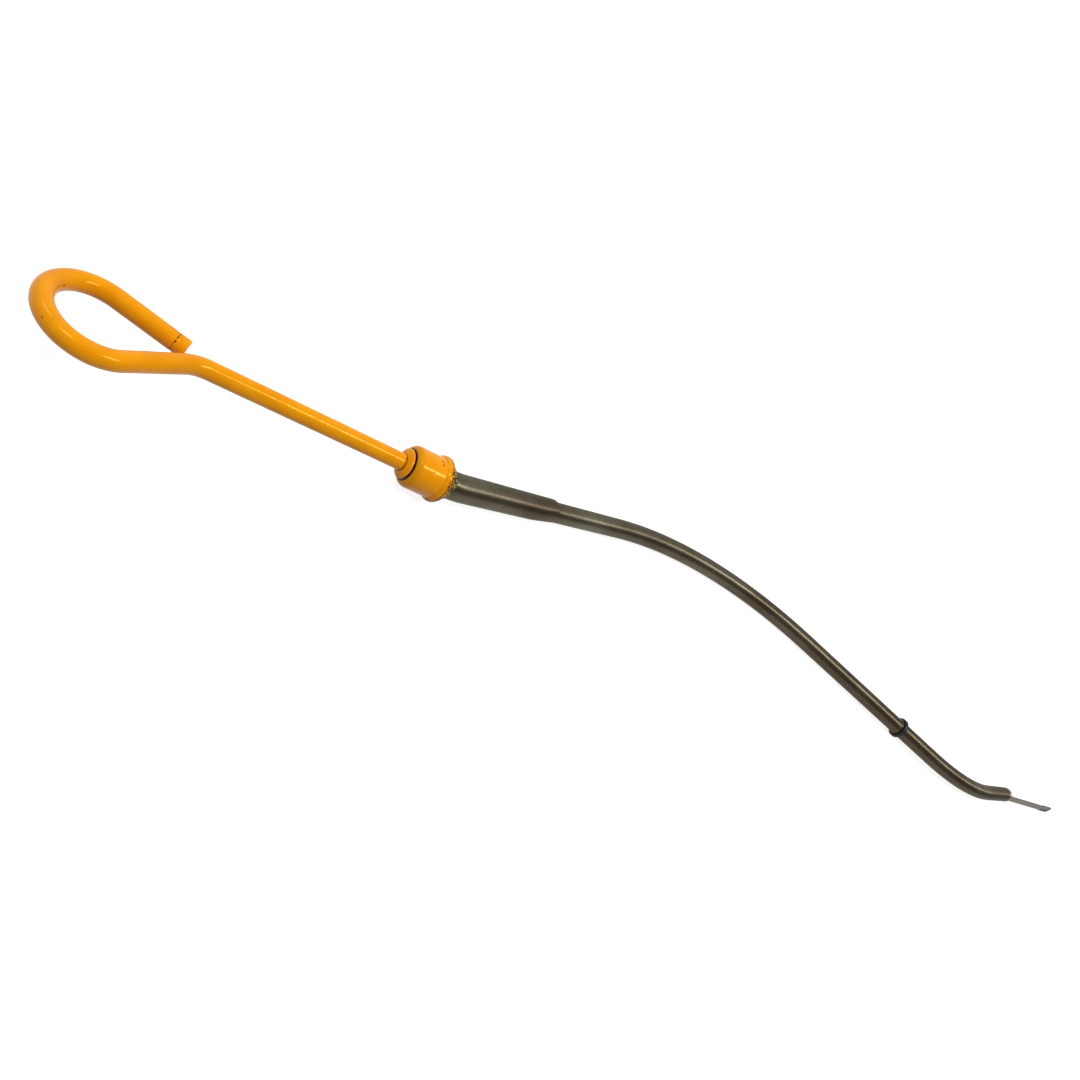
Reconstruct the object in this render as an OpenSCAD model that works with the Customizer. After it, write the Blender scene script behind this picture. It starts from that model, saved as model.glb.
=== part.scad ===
// Engine oil dipstick, fully home in its guide tube.
// A bent rod with a finger loop carries a domed cap and a flat gauge blade. The blade runs down a
// guide tube of two sizes that is bent like a long S. All bends lie in one plane, the plan.
// Plan frame: X runs from the cap's mouth towards the blade's tip, Y to the left of it, Z up.
// The finished object is leaned over until it rests on the cap's rim, the bow and the seal ring.

/* [Handle rod] */
// Diameter of the handle's round rod
rod_d = 9.3; // [8:0.1:10]
// Straight rod from the cap's top to the neck bend
stem_len = 110.8; // [60:0.1:160]
// Centreline radius of the neck bend
neck_r = 20.6; // [14:0.1:40]
// Angle of the neck bend
neck_turn = 32.2; // [26:0.1:35]
// Straight rod between the neck and the loop's head
leg_len = 32.2; // [26:0.1:36]
// Centreline radius of the loop's head
loop_r = 21.8; // [20:0.1:26]
// Angle that the loop's head turns through
loop_turn = 232.8; // [222:0.1:233.4]
// Straight rod from the loop's head to the cut end
free_len = 33.8; // [16:0.2:34.4]
// Chamfer on both cut ends of the rod
rod_chamfer = 0.5; // [0.2:0.1:1]
// Crack round the free leg, from the cut end
crack_at = 5.8; // [4:0.1:14]
// Width of the crack
crack_w = 0.5; // [0.2:0.1:1]
// Depth of the crack
crack_deep = 0.3; // [0.1:0.05:0.6]

/* [Collar] */
// Outer diameter of the collar
collar_d = 16.6; // [14:0.1:18]
// Diameter where the collar's bevel ends against the rod
collar_top_d = 12.4; // [11:0.1:13.5]
// Height of the collar on the cap
collar_h = 3; // [2:0.1:5]
// Height of the relief under the collar's edge
relief_h = 0.5; // [0.2:0.1:0.8]
// Width of the relief under the collar's edge
relief_w = 0.9; // [0.4:0.1:1.4]

/* [Cap] */
// Outer diameter of the cap's body
cap_d = 23.2; // [22.2:0.1:25.8]
// Height of the cap from its mouth to its top
cap_h = 23.8; // [22:0.1:32]
// Wall of the pressed cap
cap_wall = 1.2; // [0.8:0.1:1.6]
// Outer radius of the cap's shoulder
shoulder_r = 4; // [3:0.1:4.5]
// Largest diameter of the beaded rim
rim_d = 26.3; // [25:0.1:30]
// Section radius of the beaded rim
rim_bead_r = 3.2; // [2.4:0.1:3.6]
// Thickness of the washer under the cap's top
washer_t = 1.5; // [1:0.1:2.5]

/* [Cap seal] */
// Length of the rubber lip below the cap's mouth
lip_len = 4.4; // [1:0.1:6]
// Thickness of the rubber at the lip's edge
lip_edge = 0.4; // [0.2:0.1:1]
// Thickness of the rubber between the washer and the tube
pad_t = 6; // [3:0.1:8]

/* [Upper tube] */
// Outer diameter of the upper tube at the cap
upper_d = 15.9; // [15.5:0.1:17]
// Outer diameter of the upper tube above its necked end
upper_end_d = 15.2; // [14.8:0.1:15.4]
// Straight tube from the cap's mouth to the crook
crook_lead = 3.3; // [0:0.1:6]
// Centreline radius of the crook below the cap
crook_r = 50; // [40:1:70]
// Angle of the crook
crook_turn = 13.8; // [8:0.1:18]
// Straight upper tube from the crook to its necked end
upper_len = 77; // [60:0.5:110]
// Radius that the upper tube's end is rolled in with
neck_in_r = 2.4; // [1.5:0.1:2.6]
// Length of the flat slope that the end is hammered down with on one side
crimp_len = 18; // [8:0.5:30]
// How far the hammered end is off centre, up and to the left
crimp_off = 0.45; // [0.2:0.05:0.6]
// Wall that is left at the thin edge of the hammered end
crimp_edge = 0.2; // [0.1:0.05:0.4]

/* [Lower tube] */
// Outer diameter of the lower tube
lower_d = 12.7; // [12:0.1:12.9]
// Wall of the lower tube
lower_wall = 1; // [0.7:0.1:1.2]
// Length of the lower tube inside the upper one
lap_len = 22; // [12:0.5:40]
// Straight lower tube from the upper tube's end to the bow
run_len = 69.5; // [30:0.5:100]
// Centreline radius of the long bow
bow_r = 320; // [280:1:400]
// Angle of the long bow
bow_turn = 40; // [34:0.1:46]
// Straight tube between the bow and the toe
slope_len = 160; // [140:0.5:200]
// Centreline radius of the toe bend
toe_r = 165; // [120:1:200]
// Angle of the toe bend
toe_turn = 34; // [26:0.1:40]
// Straight tube from the toe bend to the cut end
toe_len = 48; // [20:0.5:80]

/* [Bead and seal ring] */
// Diameter of the bead upset in the lower tube
bead_d = 14.2; // [13.9:0.1:16.5]
// Section radius of the bead
bead_r = 1; // [0.8:0.05:1.1]
// Radius of the flare that leads up to the bead
flare_r = 1.5; // [1:0.1:3]
// Outer diameter of the rubber seal ring
ring_d = 17; // [16:0.1:19]
// Length of the seal ring along the tube
ring_len = 3.4; // [2.6:0.1:4.5]
// Radius on the seal ring's edges
ring_edge_r = 0.6; // [0.3:0.05:0.8]
// Middle of the seal ring from the end of the bow
ring_at = 116.5; // [60:0.1:130]

/* [Gauge blade] */
// Width of the gauge blade
blade_w = 6; // [5:0.1:7]
// Thickness of the gauge blade
blade_t = 1.2; // [0.8:0.1:1.4]
// Width of the paddle at the blade's tip
tip_w = 7.6; // [7.2:0.1:8.4]
// Length of the paddle
paddle_len = 22; // [14:0.5:30]
// Radius on the paddle's end corners
paddle_r = 2.6; // [1:0.1:3.4]
// Width of the oval pressed into the paddle
coin_w = 4; // [2:0.1:5]
// Depth of the pressed oval
coin_deep = 0.3; // [0.1:0.05:0.4]
// Blade from the tube's cut end to the tip
blade_out = 111; // [80:0.5:160]
// Angle that the blade springs back by past the tube
spring_turn = 5; // [2:0.1:8]
// Radius that the blade springs back with
spring_r = 90; // [60:1:140]
// Radius of the blade's first bend below the rod
lead_r = 90; // [70:1:120]
// Lower level mark from the tip
low_mark = 16; // [12:0.5:26]
// Distance between the two level marks
mark_gap = 30; // [15:0.5:45]

/* [Rod end] */
// Rod from the cap's mouth to its lower end
rod_tail = 10; // [6:0.5:12]
// Depth of the slot in the rod's end
slot_len = 18; // [14:0.5:20]
// Diameter of the rivets
rivet_d = 2.5; // [2:0.1:3]

/* [Fits] */
// Radial clearance where one piece slips over another
slip = 0.1; // [0.05:0.01:0.15]
// Room between the blade's edges and the tube's bore
blade_room = 0.25; // [0.15:0.01:0.4]
// How much less the section's radius is in a bend, where the metal is drawn
bend_thin = 0.02; // [0.01:0.01:0.05]

/* [Hidden] */
section_fn = 64;
turned_fn = 96;
arc_fn = 300;
// How far a straight reaches into its bend, and a cut past the face that it opens
knit = 0.1;
beyond = 1;
paint = "orange";
bare_steel = "dimgray";
rubber = "black";

rod_r = rod_d / 2;
cap_r = cap_d / 2;
rim_r = rim_d / 2;
collar_r = collar_d / 2;
upper_r = upper_d / 2;
upper_end_r = upper_end_d / 2;
lower_r = lower_d / 2;
ring_r = ring_d / 2;
rivet_r = rivet_d / 2;

// Heights above the cap's mouth, inside the cap
ceiling = cap_h - cap_wall;
washer_under = ceiling - washer_t;
socket = washer_under - pad_t;
cap_bore_r = cap_r - cap_wall;
ceiling_r = cap_r - shoulder_r;

// The upper tube's bore takes the lower tube
upper_bore_r = lower_r + slip;
lower_bore_r = lower_r - lower_wall;

// A bend table has rows of [straight, radius, turn], and a left turn is positive
handle_rows = [[rod_tail + cap_h + stem_len, neck_r, neck_turn],
               [leg_len, loop_r, -loop_turn],
               [free_len, 0, 0]];
guide_rows = [[socket + crook_lead, crook_r, crook_turn],
              [upper_len + run_len, bow_r, -bow_turn],
              [slope_len, toe_r, toe_turn],
              [toe_len, 0, 0]];
handle_start = [rod_tail, 0, 180];
guide_start = [-socket, 0, 0];

// A pose is [x, y, heading]
function ahead(p, far) = [p[0] + far * cos(p[2]), p[1] + far * sin(p[2]), p[2]];
function bend_centre(p, r, turn) = let (s = sign(turn)) [p[0] - s * r * sin(p[2]), p[1] + s * r * cos(p[2])];
function on_bend(c, r, side, heading) =
    [c[0] + side * r * sin(heading), c[1] - side * r * cos(heading), heading];
function past_row(p, row) =
    let (q = ahead(p, row[0]))
    row[2] == 0 ? q : on_bend(bend_centre(q, row[1], row[2]), row[1], sign(row[2]), q[2] + row[2]);
function pose(start, rows, n) = n == 0 ? start : past_row(pose(start, rows, n - 1), rows[n - 1]);
function row_centre(start, rows, n) =
    bend_centre(ahead(pose(start, rows, n), rows[n][0]), rows[n][1], rows[n][2]);

// The upper tube's necked end, and the middle of the seal ring
upper_end = ahead(pose(guide_start, guide_rows, 1), upper_len);
ring_pose = ahead(pose(guide_start, guide_rows, 2), ring_at);
bead_back = ring_len / 2 + bead_r;
bow_c = row_centre(guide_start, guide_rows, 1);
toe_c = row_centre(guide_start, guide_rows, 2);
toe_end = pose(guide_start, guide_rows, 4);

// The blade is sprung against the outer wall of each bend, and crosses the tube between them
spring_out = sqrt(pow(lower_bore_r - blade_room, 2) - pow(blade_w / 2, 2)) - blade_t / 2;
lead_c = [rod_tail, lead_r];
bow_ride = bow_r + spring_out;
toe_ride = toe_r + spring_out;
function gap_between(a, b) = norm([b[0] - a[0], b[1] - a[1]]);
function way(a, b) = atan2(b[1] - a[1], b[0] - a[0]);
// Heading and length of the straight that leaves bend a and joins bend b, turning the other way
function cross_heading(a, ra, b, rb, side) = way(a, b) + side * asin((ra + rb) / gap_between(a, b));
function cross_len(a, ra, b, rb) = sqrt(pow(gap_between(a, b), 2) - pow(ra + rb, 2));
drop_heading = cross_heading(lead_c, lead_r, bow_c, bow_ride, 1);
slope_heading = cross_heading(bow_c, bow_ride, toe_c, toe_ride, -1);
blade_rows = [[slot_len, lead_r, drop_heading],
              [cross_len(lead_c, lead_r, bow_c, bow_ride), bow_ride, slope_heading - drop_heading],
              [cross_len(bow_c, bow_ride, toe_c, toe_ride), toe_ride, toe_end[2] - slope_heading],
              [toe_len, spring_r, -spring_turn]];
blade_start = [rod_tail - slot_len, 0, 0];
blade_last = pose(blade_start, blade_rows, 4);
blade_tail = blade_out - spring_r * sin(spring_turn);

// Rest on three points: the cap's rim, the bow and the seal ring, each at its own radius
rim_spot = [-rim_bead_r, 0, rim_r];
bow_heading = -12;
bow_pose = on_bend(bow_c, bow_r, -1, bow_heading);
bow_spot = [bow_pose[0], bow_pose[1], lower_r];
ring_spot = [ring_pose[0], ring_pose[1], ring_r];
along_bow = bow_spot - rim_spot;
along_ring = ring_spot - rim_spot;
spread = along_bow[0] * along_ring[1] - along_ring[0] * along_bow[1];
rise_x = (along_bow[2] * along_ring[1] - along_ring[2] * along_bow[1]) / spread;
rise_y = (along_bow[0] * along_ring[2] - along_ring[0] * along_bow[2]) / spread;
lean = asin(norm([rise_x, rise_y]));
lean_axis = [rise_y, -rise_x, 0] / norm([rise_x, rise_y]);
lift = rim_spot[2] - rise_x * rim_spot[0] - rise_y * rim_spot[1];

// The plan's extremes, leaned over, give the middle of the object's box
function leaned(p) = let (t = lean_axis * (lean_axis * [p[0], p[1], 0]))
    t + ([p[0], p[1], 0] - t) * cos(lean);
loop_c = row_centre(handle_start, handle_rows, 1);
x_low = leaned([loop_c[0], loop_c[1]])[0] - loop_r - rod_r;
x_high = leaned(ahead(blade_last, blade_tail))[0];
y_low = leaned([toe_c[0], toe_c[1] - toe_r])[1] - lower_r;
y_high = leaned([bow_c[0], bow_c[1] + bow_r])[1] + lower_r;

module at(p) {
    translate([p[0], p[1], 0]) rotate(p[2]) children();
}

// Section swept straight along X, with the section's X to the left and its Y up
module straight(far) {
    rotate([90, 0, 90]) linear_extrude(far) children();
}

// Section swept round a bend that starts at the origin along X
module bend(r, turn) {
    translate([0, sign(turn) * r, 0]) rotate(turn > 0 ? -90 : 90 + turn)
        rotate_extrude(angle = abs(turn), $fn = arc_fn) translate([r, 0]) children();
}

// The first child is the section of the straights, which reach a little into the bends, and the
// second child is that of the bends
module sweep(start, rows) {
    for (n = [0 : len(rows) - 1]) {
        back = n == 0 ? 0 : knit;
        on = rows[n][2] == 0 ? 0 : knit;
        at(pose(start, rows, n)) {
            translate([-back, 0, 0]) straight(back + rows[n][0] + on) children(0);
            if (on > 0) translate([rows[n][0], 0, 0]) bend(rows[n][1], rows[n][2]) children(1);
        }
    }
}

// Profile of radius and distance along X, turned round the X axis
module turned() {
    rotate([0, 90, 0]) rotate_extrude($fn = turned_fn) children();
}

// Profile of radius and height above the cap's mouth, turned round the cap's axis
module stacked() {
    rotate([0, -90, 0]) rotate_extrude($fn = turned_fn) children();
}

module round_section(r) {
    circle(r, $fn = section_fn);
}

module round_sweep(start, rows, r) {
    sweep(start, rows) {
        round_section(r);
        round_section(r - bend_thin);
    }
}

module rivet_holes(r, far) {
    for (x = [rod_tail - slot_len * 0.3, rod_tail - slot_len * 0.72])
        translate([x, far / 2, 0]) rotate([90, 0, 0]) cylinder(h = far, r = r, $fn = section_fn);
}

// What the chamfer takes off a cut end that faces along X at the origin
module end_cut() {
    turned() polygon([[rod_r - rod_chamfer, 0], [rod_r + rod_chamfer, -2 * rod_chamfer],
                      [rod_r + rod_chamfer, 2 * rod_chamfer], [rod_r - rod_chamfer, 2 * rod_chamfer]]);
}

module handle_rod() {
    free_end = pose(handle_start, handle_rows, 3);
    color(paint) difference() {
        round_sweep(handle_start, handle_rows, rod_r);
        at(free_end) end_cut();
        at(ahead(free_end, -crack_at)) turned() translate([rod_r - crack_deep, -crack_w / 2])
            square([crack_deep + beyond, crack_w]);
        translate([rod_tail, 0, 0]) end_cut();
        translate([rod_tail - slot_len, -blade_t / 2 - slip, -rod_d])
            cube([slot_len + rod_d, blade_t + 2 * slip, 2 * rod_d]);
        rivet_holes(rivet_r + slip, 2 * rod_d);
    }
}

module handle_collar() {
    edge = (collar_r - collar_top_d / 2) * 0.6;
    color(paint) stacked() polygon([
        [rod_r + slip, cap_h], [collar_r - relief_w, cap_h], [collar_r - relief_w, cap_h + relief_h],
        [collar_r, cap_h + relief_h], [collar_r, cap_h + collar_h - edge],
        [collar_top_d / 2, cap_h + collar_h], [rod_r + slip, cap_h + collar_h]]);
}

// Outline of a domed cup, from its axis out, with a round shoulder
module cup_outline(r, h, shoulder) {
    square([r, h - shoulder]);
    square([r - shoulder, h]);
    translate([r - shoulder, h - shoulder]) circle(shoulder, $fn = section_fn);
}

module cap_shell() {
    color(paint) stacked() difference() {
        union() {
            cup_outline(cap_r, cap_h, shoulder_r);
            translate([rim_r - rim_bead_r, rim_bead_r]) circle(rim_bead_r, $fn = section_fn);
        }
        translate([0, -beyond]) cup_outline(cap_bore_r, ceiling + beyond, shoulder_r - cap_wall);
        square([rod_r + slip, cap_h + beyond]);
    }
}

module cap_washer() {
    color("silver") stacked() translate([rod_r + slip, washer_under])
        square([ceiling_r - rod_r - 2 * slip, washer_t]);
}

module cap_seal() {
    inner = shoulder_r - cap_wall;
    corner = max(inner - washer_t, 0);
    bevel = inner - sqrt(inner * inner - corner * corner) + slip;
    color(rubber) stacked() polygon([
        [rod_r + slip, socket], [rod_r + slip, washer_under], [cap_bore_r - slip - bevel, washer_under],
        [cap_bore_r - slip, washer_under - corner - bevel], [cap_bore_r - slip, 0],
        [upper_r + slip + lip_edge, -lip_len], [upper_r + slip, -lip_len], [upper_r + slip, socket]]);
}

// Profile of the tapered tube, with its end rolled in on to the lower tube
module tapered_outline() {
    roll_c = upper_end_r - neck_in_r;
    polygon([[0, -knit], [upper_r, -knit], [upper_r, 0], [upper_end_r, upper_len - neck_in_r],
             [roll_c, upper_len - neck_in_r], [roll_c, upper_len], [0, upper_len]]);
    translate([roll_c, upper_len - neck_in_r]) circle(neck_in_r, $fn = section_fn);
}

// What the hammering leaves of the tapered tube: all of it, and then a cone that is off centre
module crimp_outline() {
    slope_at = upper_len - crimp_len;
    full_r = upper_r + crimp_off + slip;
    from_r = upper_end_r + crimp_off + slip;
    end_r = upper_bore_r + crimp_edge + crimp_off;
    past_r = end_r - (from_r - end_r) / crimp_len * beyond;
    polygon([[0, -beyond], [full_r, -beyond], [full_r, slope_at], [from_r, slope_at],
             [past_r, upper_len + beyond], [0, upper_len + beyond]]);
}

module upper_tube() {
    head_rows = [guide_rows[0]];
    bore_rows = [[beyond + guide_rows[0][0], crook_r, crook_turn], [upper_len + beyond, 0, 0]];
    color(bare_steel) difference() {
        union() {
            round_sweep(guide_start, head_rows, upper_r);
            at(pose(guide_start, guide_rows, 1)) intersection() {
                turned() tapered_outline();
                rotate([45, 0, 0]) translate([0, crimp_off, 0]) turned() crimp_outline();
            }
        }
        round_sweep(ahead(guide_start, -beyond), bore_rows, upper_bore_r);
    }
}

// The bead stands on the tube's wall, with a hollow flare leading up to it
module bead() {
    foot = lower_bore_r + lower_wall / 2;
    crest = bead_d / 2 - bead_r;
    flare_y = lower_r + flare_r - knit;
    flare_back = sqrt(pow(bead_r + flare_r - knit, 2) - pow(flare_y - crest, 2));
    turned() {
        translate([crest, 0]) circle(bead_r, $fn = section_fn);
        translate([foot, -bead_r]) square([crest - foot, 2 * bead_r]);
        difference() {
            polygon([[foot, -flare_back], [flare_y, -flare_back], [crest, 0], [foot, 0]]);
            translate([flare_y, -flare_back]) circle(flare_r, $fn = section_fn);
        }
    }
}

module lower_tube() {
    tube_start = ahead(upper_end, -lap_len);
    tube_rows = [[lap_len + run_len, bow_r, -bow_turn], guide_rows[2], guide_rows[3]];
    bore_rows = [[beyond + tube_rows[0][0], bow_r, -bow_turn], guide_rows[2], [toe_len + beyond, 0, 0]];
    color(bare_steel) difference() {
        union() {
            round_sweep(tube_start, tube_rows, lower_r);
            at(ahead(ring_pose, -bead_back)) bead();
        }
        round_sweep(ahead(tube_start, -beyond), bore_rows, lower_bore_r);
    }
}

module seal_ring() {
    bore_r = lower_r + slip;
    flat = ring_len / 2 - ring_edge_r;
    color(rubber) at(ring_pose) turned() {
        translate([bore_r, -ring_len / 2]) square([ring_r - ring_edge_r - bore_r, ring_len]);
        translate([bore_r, -flat]) square([ring_r - bore_r, 2 * flat]);
        for (z = [-flat, flat]) translate([ring_r - ring_edge_r, z]) circle(ring_edge_r, $fn = section_fn);
    }
}

// Flat end of the blade, seen from its face: strip, flared shoulders and a paddle with round corners
module blade_tip() {
    half = tip_w / 2;
    flare = 2 * (tip_w - blade_w);
    tip_x = knit + blade_tail;
    wide_x = tip_x - paddle_len;
    translate([0, blade_t / 2, 0]) rotate([90, 0, 0]) linear_extrude(blade_t) {
        translate([0, -blade_w / 2]) square([wide_x, blade_w]);
        polygon([[wide_x - flare, -blade_w / 2], [wide_x, -half], [tip_x - paddle_r, -half],
                 [tip_x - paddle_r, half], [wide_x, half], [wide_x - flare, blade_w / 2]]);
        translate([tip_x - 2 * paddle_r, paddle_r - half]) square([2 * paddle_r, 2 * (half - paddle_r)]);
        for (side = [-1, 1]) translate([tip_x - paddle_r, side * (half - paddle_r)])
            circle(paddle_r, $fn = section_fn);
    }
}

// Oval pressed into the paddle's face, seen from the tip
module coin_cut() {
    rim = (tip_w - coin_w) / 2;
    long = paddle_len - 2 * rim - coin_w;
    translate([-rim - coin_w / 2, coin_deep - blade_t / 2, 0]) rotate([90, 0, 0]) linear_extrude(blade_t) {
        translate([-long, -coin_w / 2]) square([long, coin_w]);
        for (x = [-long, 0]) translate([x, 0]) circle(coin_w / 2, $fn = section_fn);
    }
}

module gauge_blade() {
    mark_w = 0.8;
    mark_deep = blade_t / 4;
    color("gray") difference() {
        union() {
            sweep(blade_start, blade_rows) {
                square([blade_t, blade_w], center = true);
                square([blade_t, blade_w] - [1, 1] * 2 * bend_thin, center = true);
            }
            at(ahead(blade_last, -knit)) blade_tip();
        }
        at(ahead(blade_last, blade_tail)) {
            coin_cut();
            for (back = [low_mark, low_mark + mark_gap])
                translate([-back, blade_t / 2 - mark_deep, -tip_w]) cube([mark_w, blade_t, 2 * tip_w]);
        }
        rivet_holes(rivet_r + slip, 2 * rod_d);
    }
}

module blade_rivets() {
    color("silver") rivet_holes(rivet_r, rod_d - 2 * slip);
}

module resting() {
    translate([-(x_low + x_high) / 2, -(y_low + y_high) / 2, lift]) rotate(a = lean, v = lean_axis) children();
}

resting() handle_rod();
resting() handle_collar();
resting() cap_shell();
resting() cap_washer();
resting() cap_seal();
resting() gauge_blade();
resting() blade_rivets();
resting() upper_tube();
resting() lower_tube();
resting() seal_ring();
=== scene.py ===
"""Dresses the engine oil dipstick: painted handle and cap, oiled steel tubes, rubber and gauge blade.

Each round piece is turned straight first, with X as the distance along its route. A Geometry Nodes
tree then lays it along the bent route. It keeps the straight place of every point and the way the route
runs there as attributes, so that drawing marks, gloss, dirt and painted shade follow the bends.
"""

import logging
import math
from collections.abc import Sequence
from dataclasses import dataclass
from enum import Enum

import bmesh
import bpy
from mathutils import Matrix, Vector
from mathutils import noise as wander

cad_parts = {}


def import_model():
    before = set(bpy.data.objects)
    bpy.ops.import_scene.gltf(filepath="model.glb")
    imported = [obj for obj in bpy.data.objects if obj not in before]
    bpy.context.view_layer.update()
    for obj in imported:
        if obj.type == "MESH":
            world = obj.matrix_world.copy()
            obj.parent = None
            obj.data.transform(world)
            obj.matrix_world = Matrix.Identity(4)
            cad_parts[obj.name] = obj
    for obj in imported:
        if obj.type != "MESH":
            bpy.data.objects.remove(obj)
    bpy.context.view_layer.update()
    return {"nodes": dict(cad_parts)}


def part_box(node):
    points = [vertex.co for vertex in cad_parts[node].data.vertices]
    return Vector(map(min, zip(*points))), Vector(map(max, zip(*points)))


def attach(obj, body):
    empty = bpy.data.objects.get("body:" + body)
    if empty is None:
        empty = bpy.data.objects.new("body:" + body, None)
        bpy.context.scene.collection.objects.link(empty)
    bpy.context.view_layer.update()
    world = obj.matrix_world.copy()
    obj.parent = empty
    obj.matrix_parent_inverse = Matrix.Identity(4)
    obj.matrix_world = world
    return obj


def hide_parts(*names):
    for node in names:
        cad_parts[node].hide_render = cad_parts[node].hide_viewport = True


LOG = logging.getLogger("dipstick")
MM = 0.001
BODY = "root"
IMAGE_PX = 1080
STRAIGHT = "straight"
RUN = "run"
# Dark brown for dirt, and for painted shade in gaps and recesses between parts.
DIRT_AND_PAINTED_SHADE = "2A1806"
WHITE = (1.0, 1.0, 1.0, 1.0)
ON_AXIS_MM = 1e-6

# Inputs of a colour Mix node, and its output.
SHARE, FIRST, SECOND, BLENDED = 0, 6, 7, 2

# Inputs of a Random Value node that draws a float, and its output.
LEAST, MOST, DRAWN = 2, 3, 1

Profile = list[tuple[float, float]]
Point = tuple[float, float, float]
Span = tuple[float, float]
Links = dict[str | int, object]


class Slot(Enum):
    """Names of material slots, given with each made piece."""

    PAINT = "handle_paint"
    TUBE = "tube_steel"
    RUBBER = "seal_rubber"


@dataclass(frozen=True)
class Bend:
    """One row of a bend table: a straight in mm, then a turn in degrees, positive to the left."""

    straight: float
    radius: float = 0.0
    turn: float = 0.0


@dataclass(frozen=True)
class Station:
    """A place in the plan in mm, with a heading in radians."""

    x: float
    y: float
    heading: float

    def ahead(self, far: float) -> "Station":
        """Goes straight on.

        Args:
            far: How far, in mm.

        Returns:
            The station there.
        """
        x = self.x + far * math.cos(self.heading)
        y = self.y + far * math.sin(self.heading)
        return Station(x, y, self.heading)

    def centre(self, bend: Bend) -> Vector:
        """Returns the centre of a bend that starts here."""
        side = math.copysign(bend.radius, bend.turn)
        return Vector((self.x - side * math.sin(self.heading), self.y + side * math.cos(self.heading), 0.0))

    def round(self, bend: Bend, angle: float) -> "Station":
        """Goes part of the way round a bend.

        Args:
            bend: The bend that starts here.
            angle: How far round, in radians, with the bend's own sign.

        Returns:
            The station on the bend's centreline.
        """
        centre = self.centre(bend)
        side = math.copysign(bend.radius, bend.turn)
        heading = self.heading + angle
        return Station(centre.x + side * math.sin(heading), centre.y - side * math.cos(heading), heading)

    def past(self, bend: Bend) -> "Station":
        """Returns the station after a whole row of the bend table."""
        start = self.ahead(bend.straight)
        return start.round(bend, math.radians(bend.turn)) if bend.turn else start


@dataclass(frozen=True)
class Sizes:
    """Driving sizes of the dipstick in mm and degrees, the same as those of its solids."""

    rod_r: float = 4.65
    stem_len: float = 110.8
    neck_r: float = 20.6
    neck_turn: float = 32.2
    leg_len: float = 32.2
    loop_r: float = 21.8
    loop_turn: float = 232.8
    free_len: float = 33.8
    rod_chamfer: float = 0.5
    crack_at: float = 5.8
    crack_w: float = 0.5
    crack_deep: float = 0.3
    rod_tail: float = 10.0
    slot_len: float = 18.0
    blade_t: float = 1.2
    rivet_r: float = 1.25
    collar_r: float = 8.3
    collar_top_r: float = 6.2
    collar_h: float = 3.0
    relief_h: float = 0.5
    relief_w: float = 0.9
    cap_r: float = 11.6
    cap_h: float = 23.8
    cap_wall: float = 1.2
    shoulder_r: float = 4.0
    rim_r: float = 13.15
    rim_bead_r: float = 3.2
    washer_t: float = 1.5
    lip_len: float = 4.4
    lip_edge: float = 0.4
    pad_t: float = 6.0
    crook_lead: float = 3.3
    crook_r: float = 50.0
    crook_turn: float = 13.8
    upper_r: float = 7.95
    upper_end_r: float = 7.6
    upper_len: float = 77.0
    neck_in_r: float = 2.4
    crimp_len: float = 18.0
    crimp_off: float = 0.45
    crimp_edge: float = 0.2
    lower_r: float = 6.35
    lower_wall: float = 1.0
    lap_len: float = 22.0
    run_len: float = 69.5
    bow_r: float = 320.0
    bow_turn: float = 40.0
    slope_len: float = 160.0
    toe_r: float = 165.0
    toe_turn: float = 34.0
    toe_len: float = 48.0
    bead_crest_r: float = 7.1
    bead_r: float = 1.0
    flare_r: float = 1.5
    ring_r: float = 8.5
    ring_len: float = 3.4
    ring_edge_r: float = 0.6
    ring_at: float = 116.5
    slip: float = 0.1

    @property
    def ceiling(self) -> float:
        """Height of the cap's inside above its mouth."""
        return self.cap_h - self.cap_wall

    @property
    def socket(self) -> float:
        """Height above the cap's mouth at which the upper tube ends."""
        return self.ceiling - self.washer_t - self.pad_t

    @property
    def handle_rows(self) -> list[Bend]:
        """Bend table of the handle rod, from its tail to the cut end of its loop."""
        return [
            Bend(self.rod_tail + self.cap_h + self.stem_len, self.neck_r, self.neck_turn),
            Bend(self.leg_len, self.loop_r, -self.loop_turn),
            Bend(self.free_len),
        ]

    @property
    def guide_rows(self) -> list[Bend]:
        """Bend table of the guide tube, from inside the cap to the cut end of its toe."""
        return [
            Bend(self.socket + self.crook_lead, self.crook_r, self.crook_turn),
            Bend(self.upper_len + self.run_len, self.bow_r, -self.bow_turn),
            Bend(self.slope_len, self.toe_r, self.toe_turn),
            Bend(self.toe_len),
        ]

    @property
    def upper_end(self) -> float:
        """Distance along the guide route to the upper tube's necked end."""
        return length_of(self.guide_rows[:1]) + self.upper_len

    @property
    def ring_mid(self) -> float:
        """Distance along the guide route to the middle of the seal ring."""
        return length_of(self.guide_rows[:2]) + self.ring_at

    @property
    def crack(self) -> float:
        """Distance along the handle route to the crack in its free leg."""
        return length_of(self.handle_rows) - self.crack_at

    @property
    def collar_low(self) -> float:
        """Distance along the handle route to the collar's seat on the cap."""
        return self.rod_tail + self.cap_h


def length_of(rows: Sequence[Bend]) -> float:
    """Returns the centreline length of a bend table in mm."""
    return sum(row.straight + row.radius * math.radians(abs(row.turn)) for row in rows)


def after(start: Station, rows: Sequence[Bend]) -> Station:
    """Goes past the rows of a bend table.

    Args:
        start: Where the first row starts.
        rows: The rows.

    Returns:
        The station after the last row.
    """
    for row in rows:
        start = start.past(row)
    return start


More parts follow.
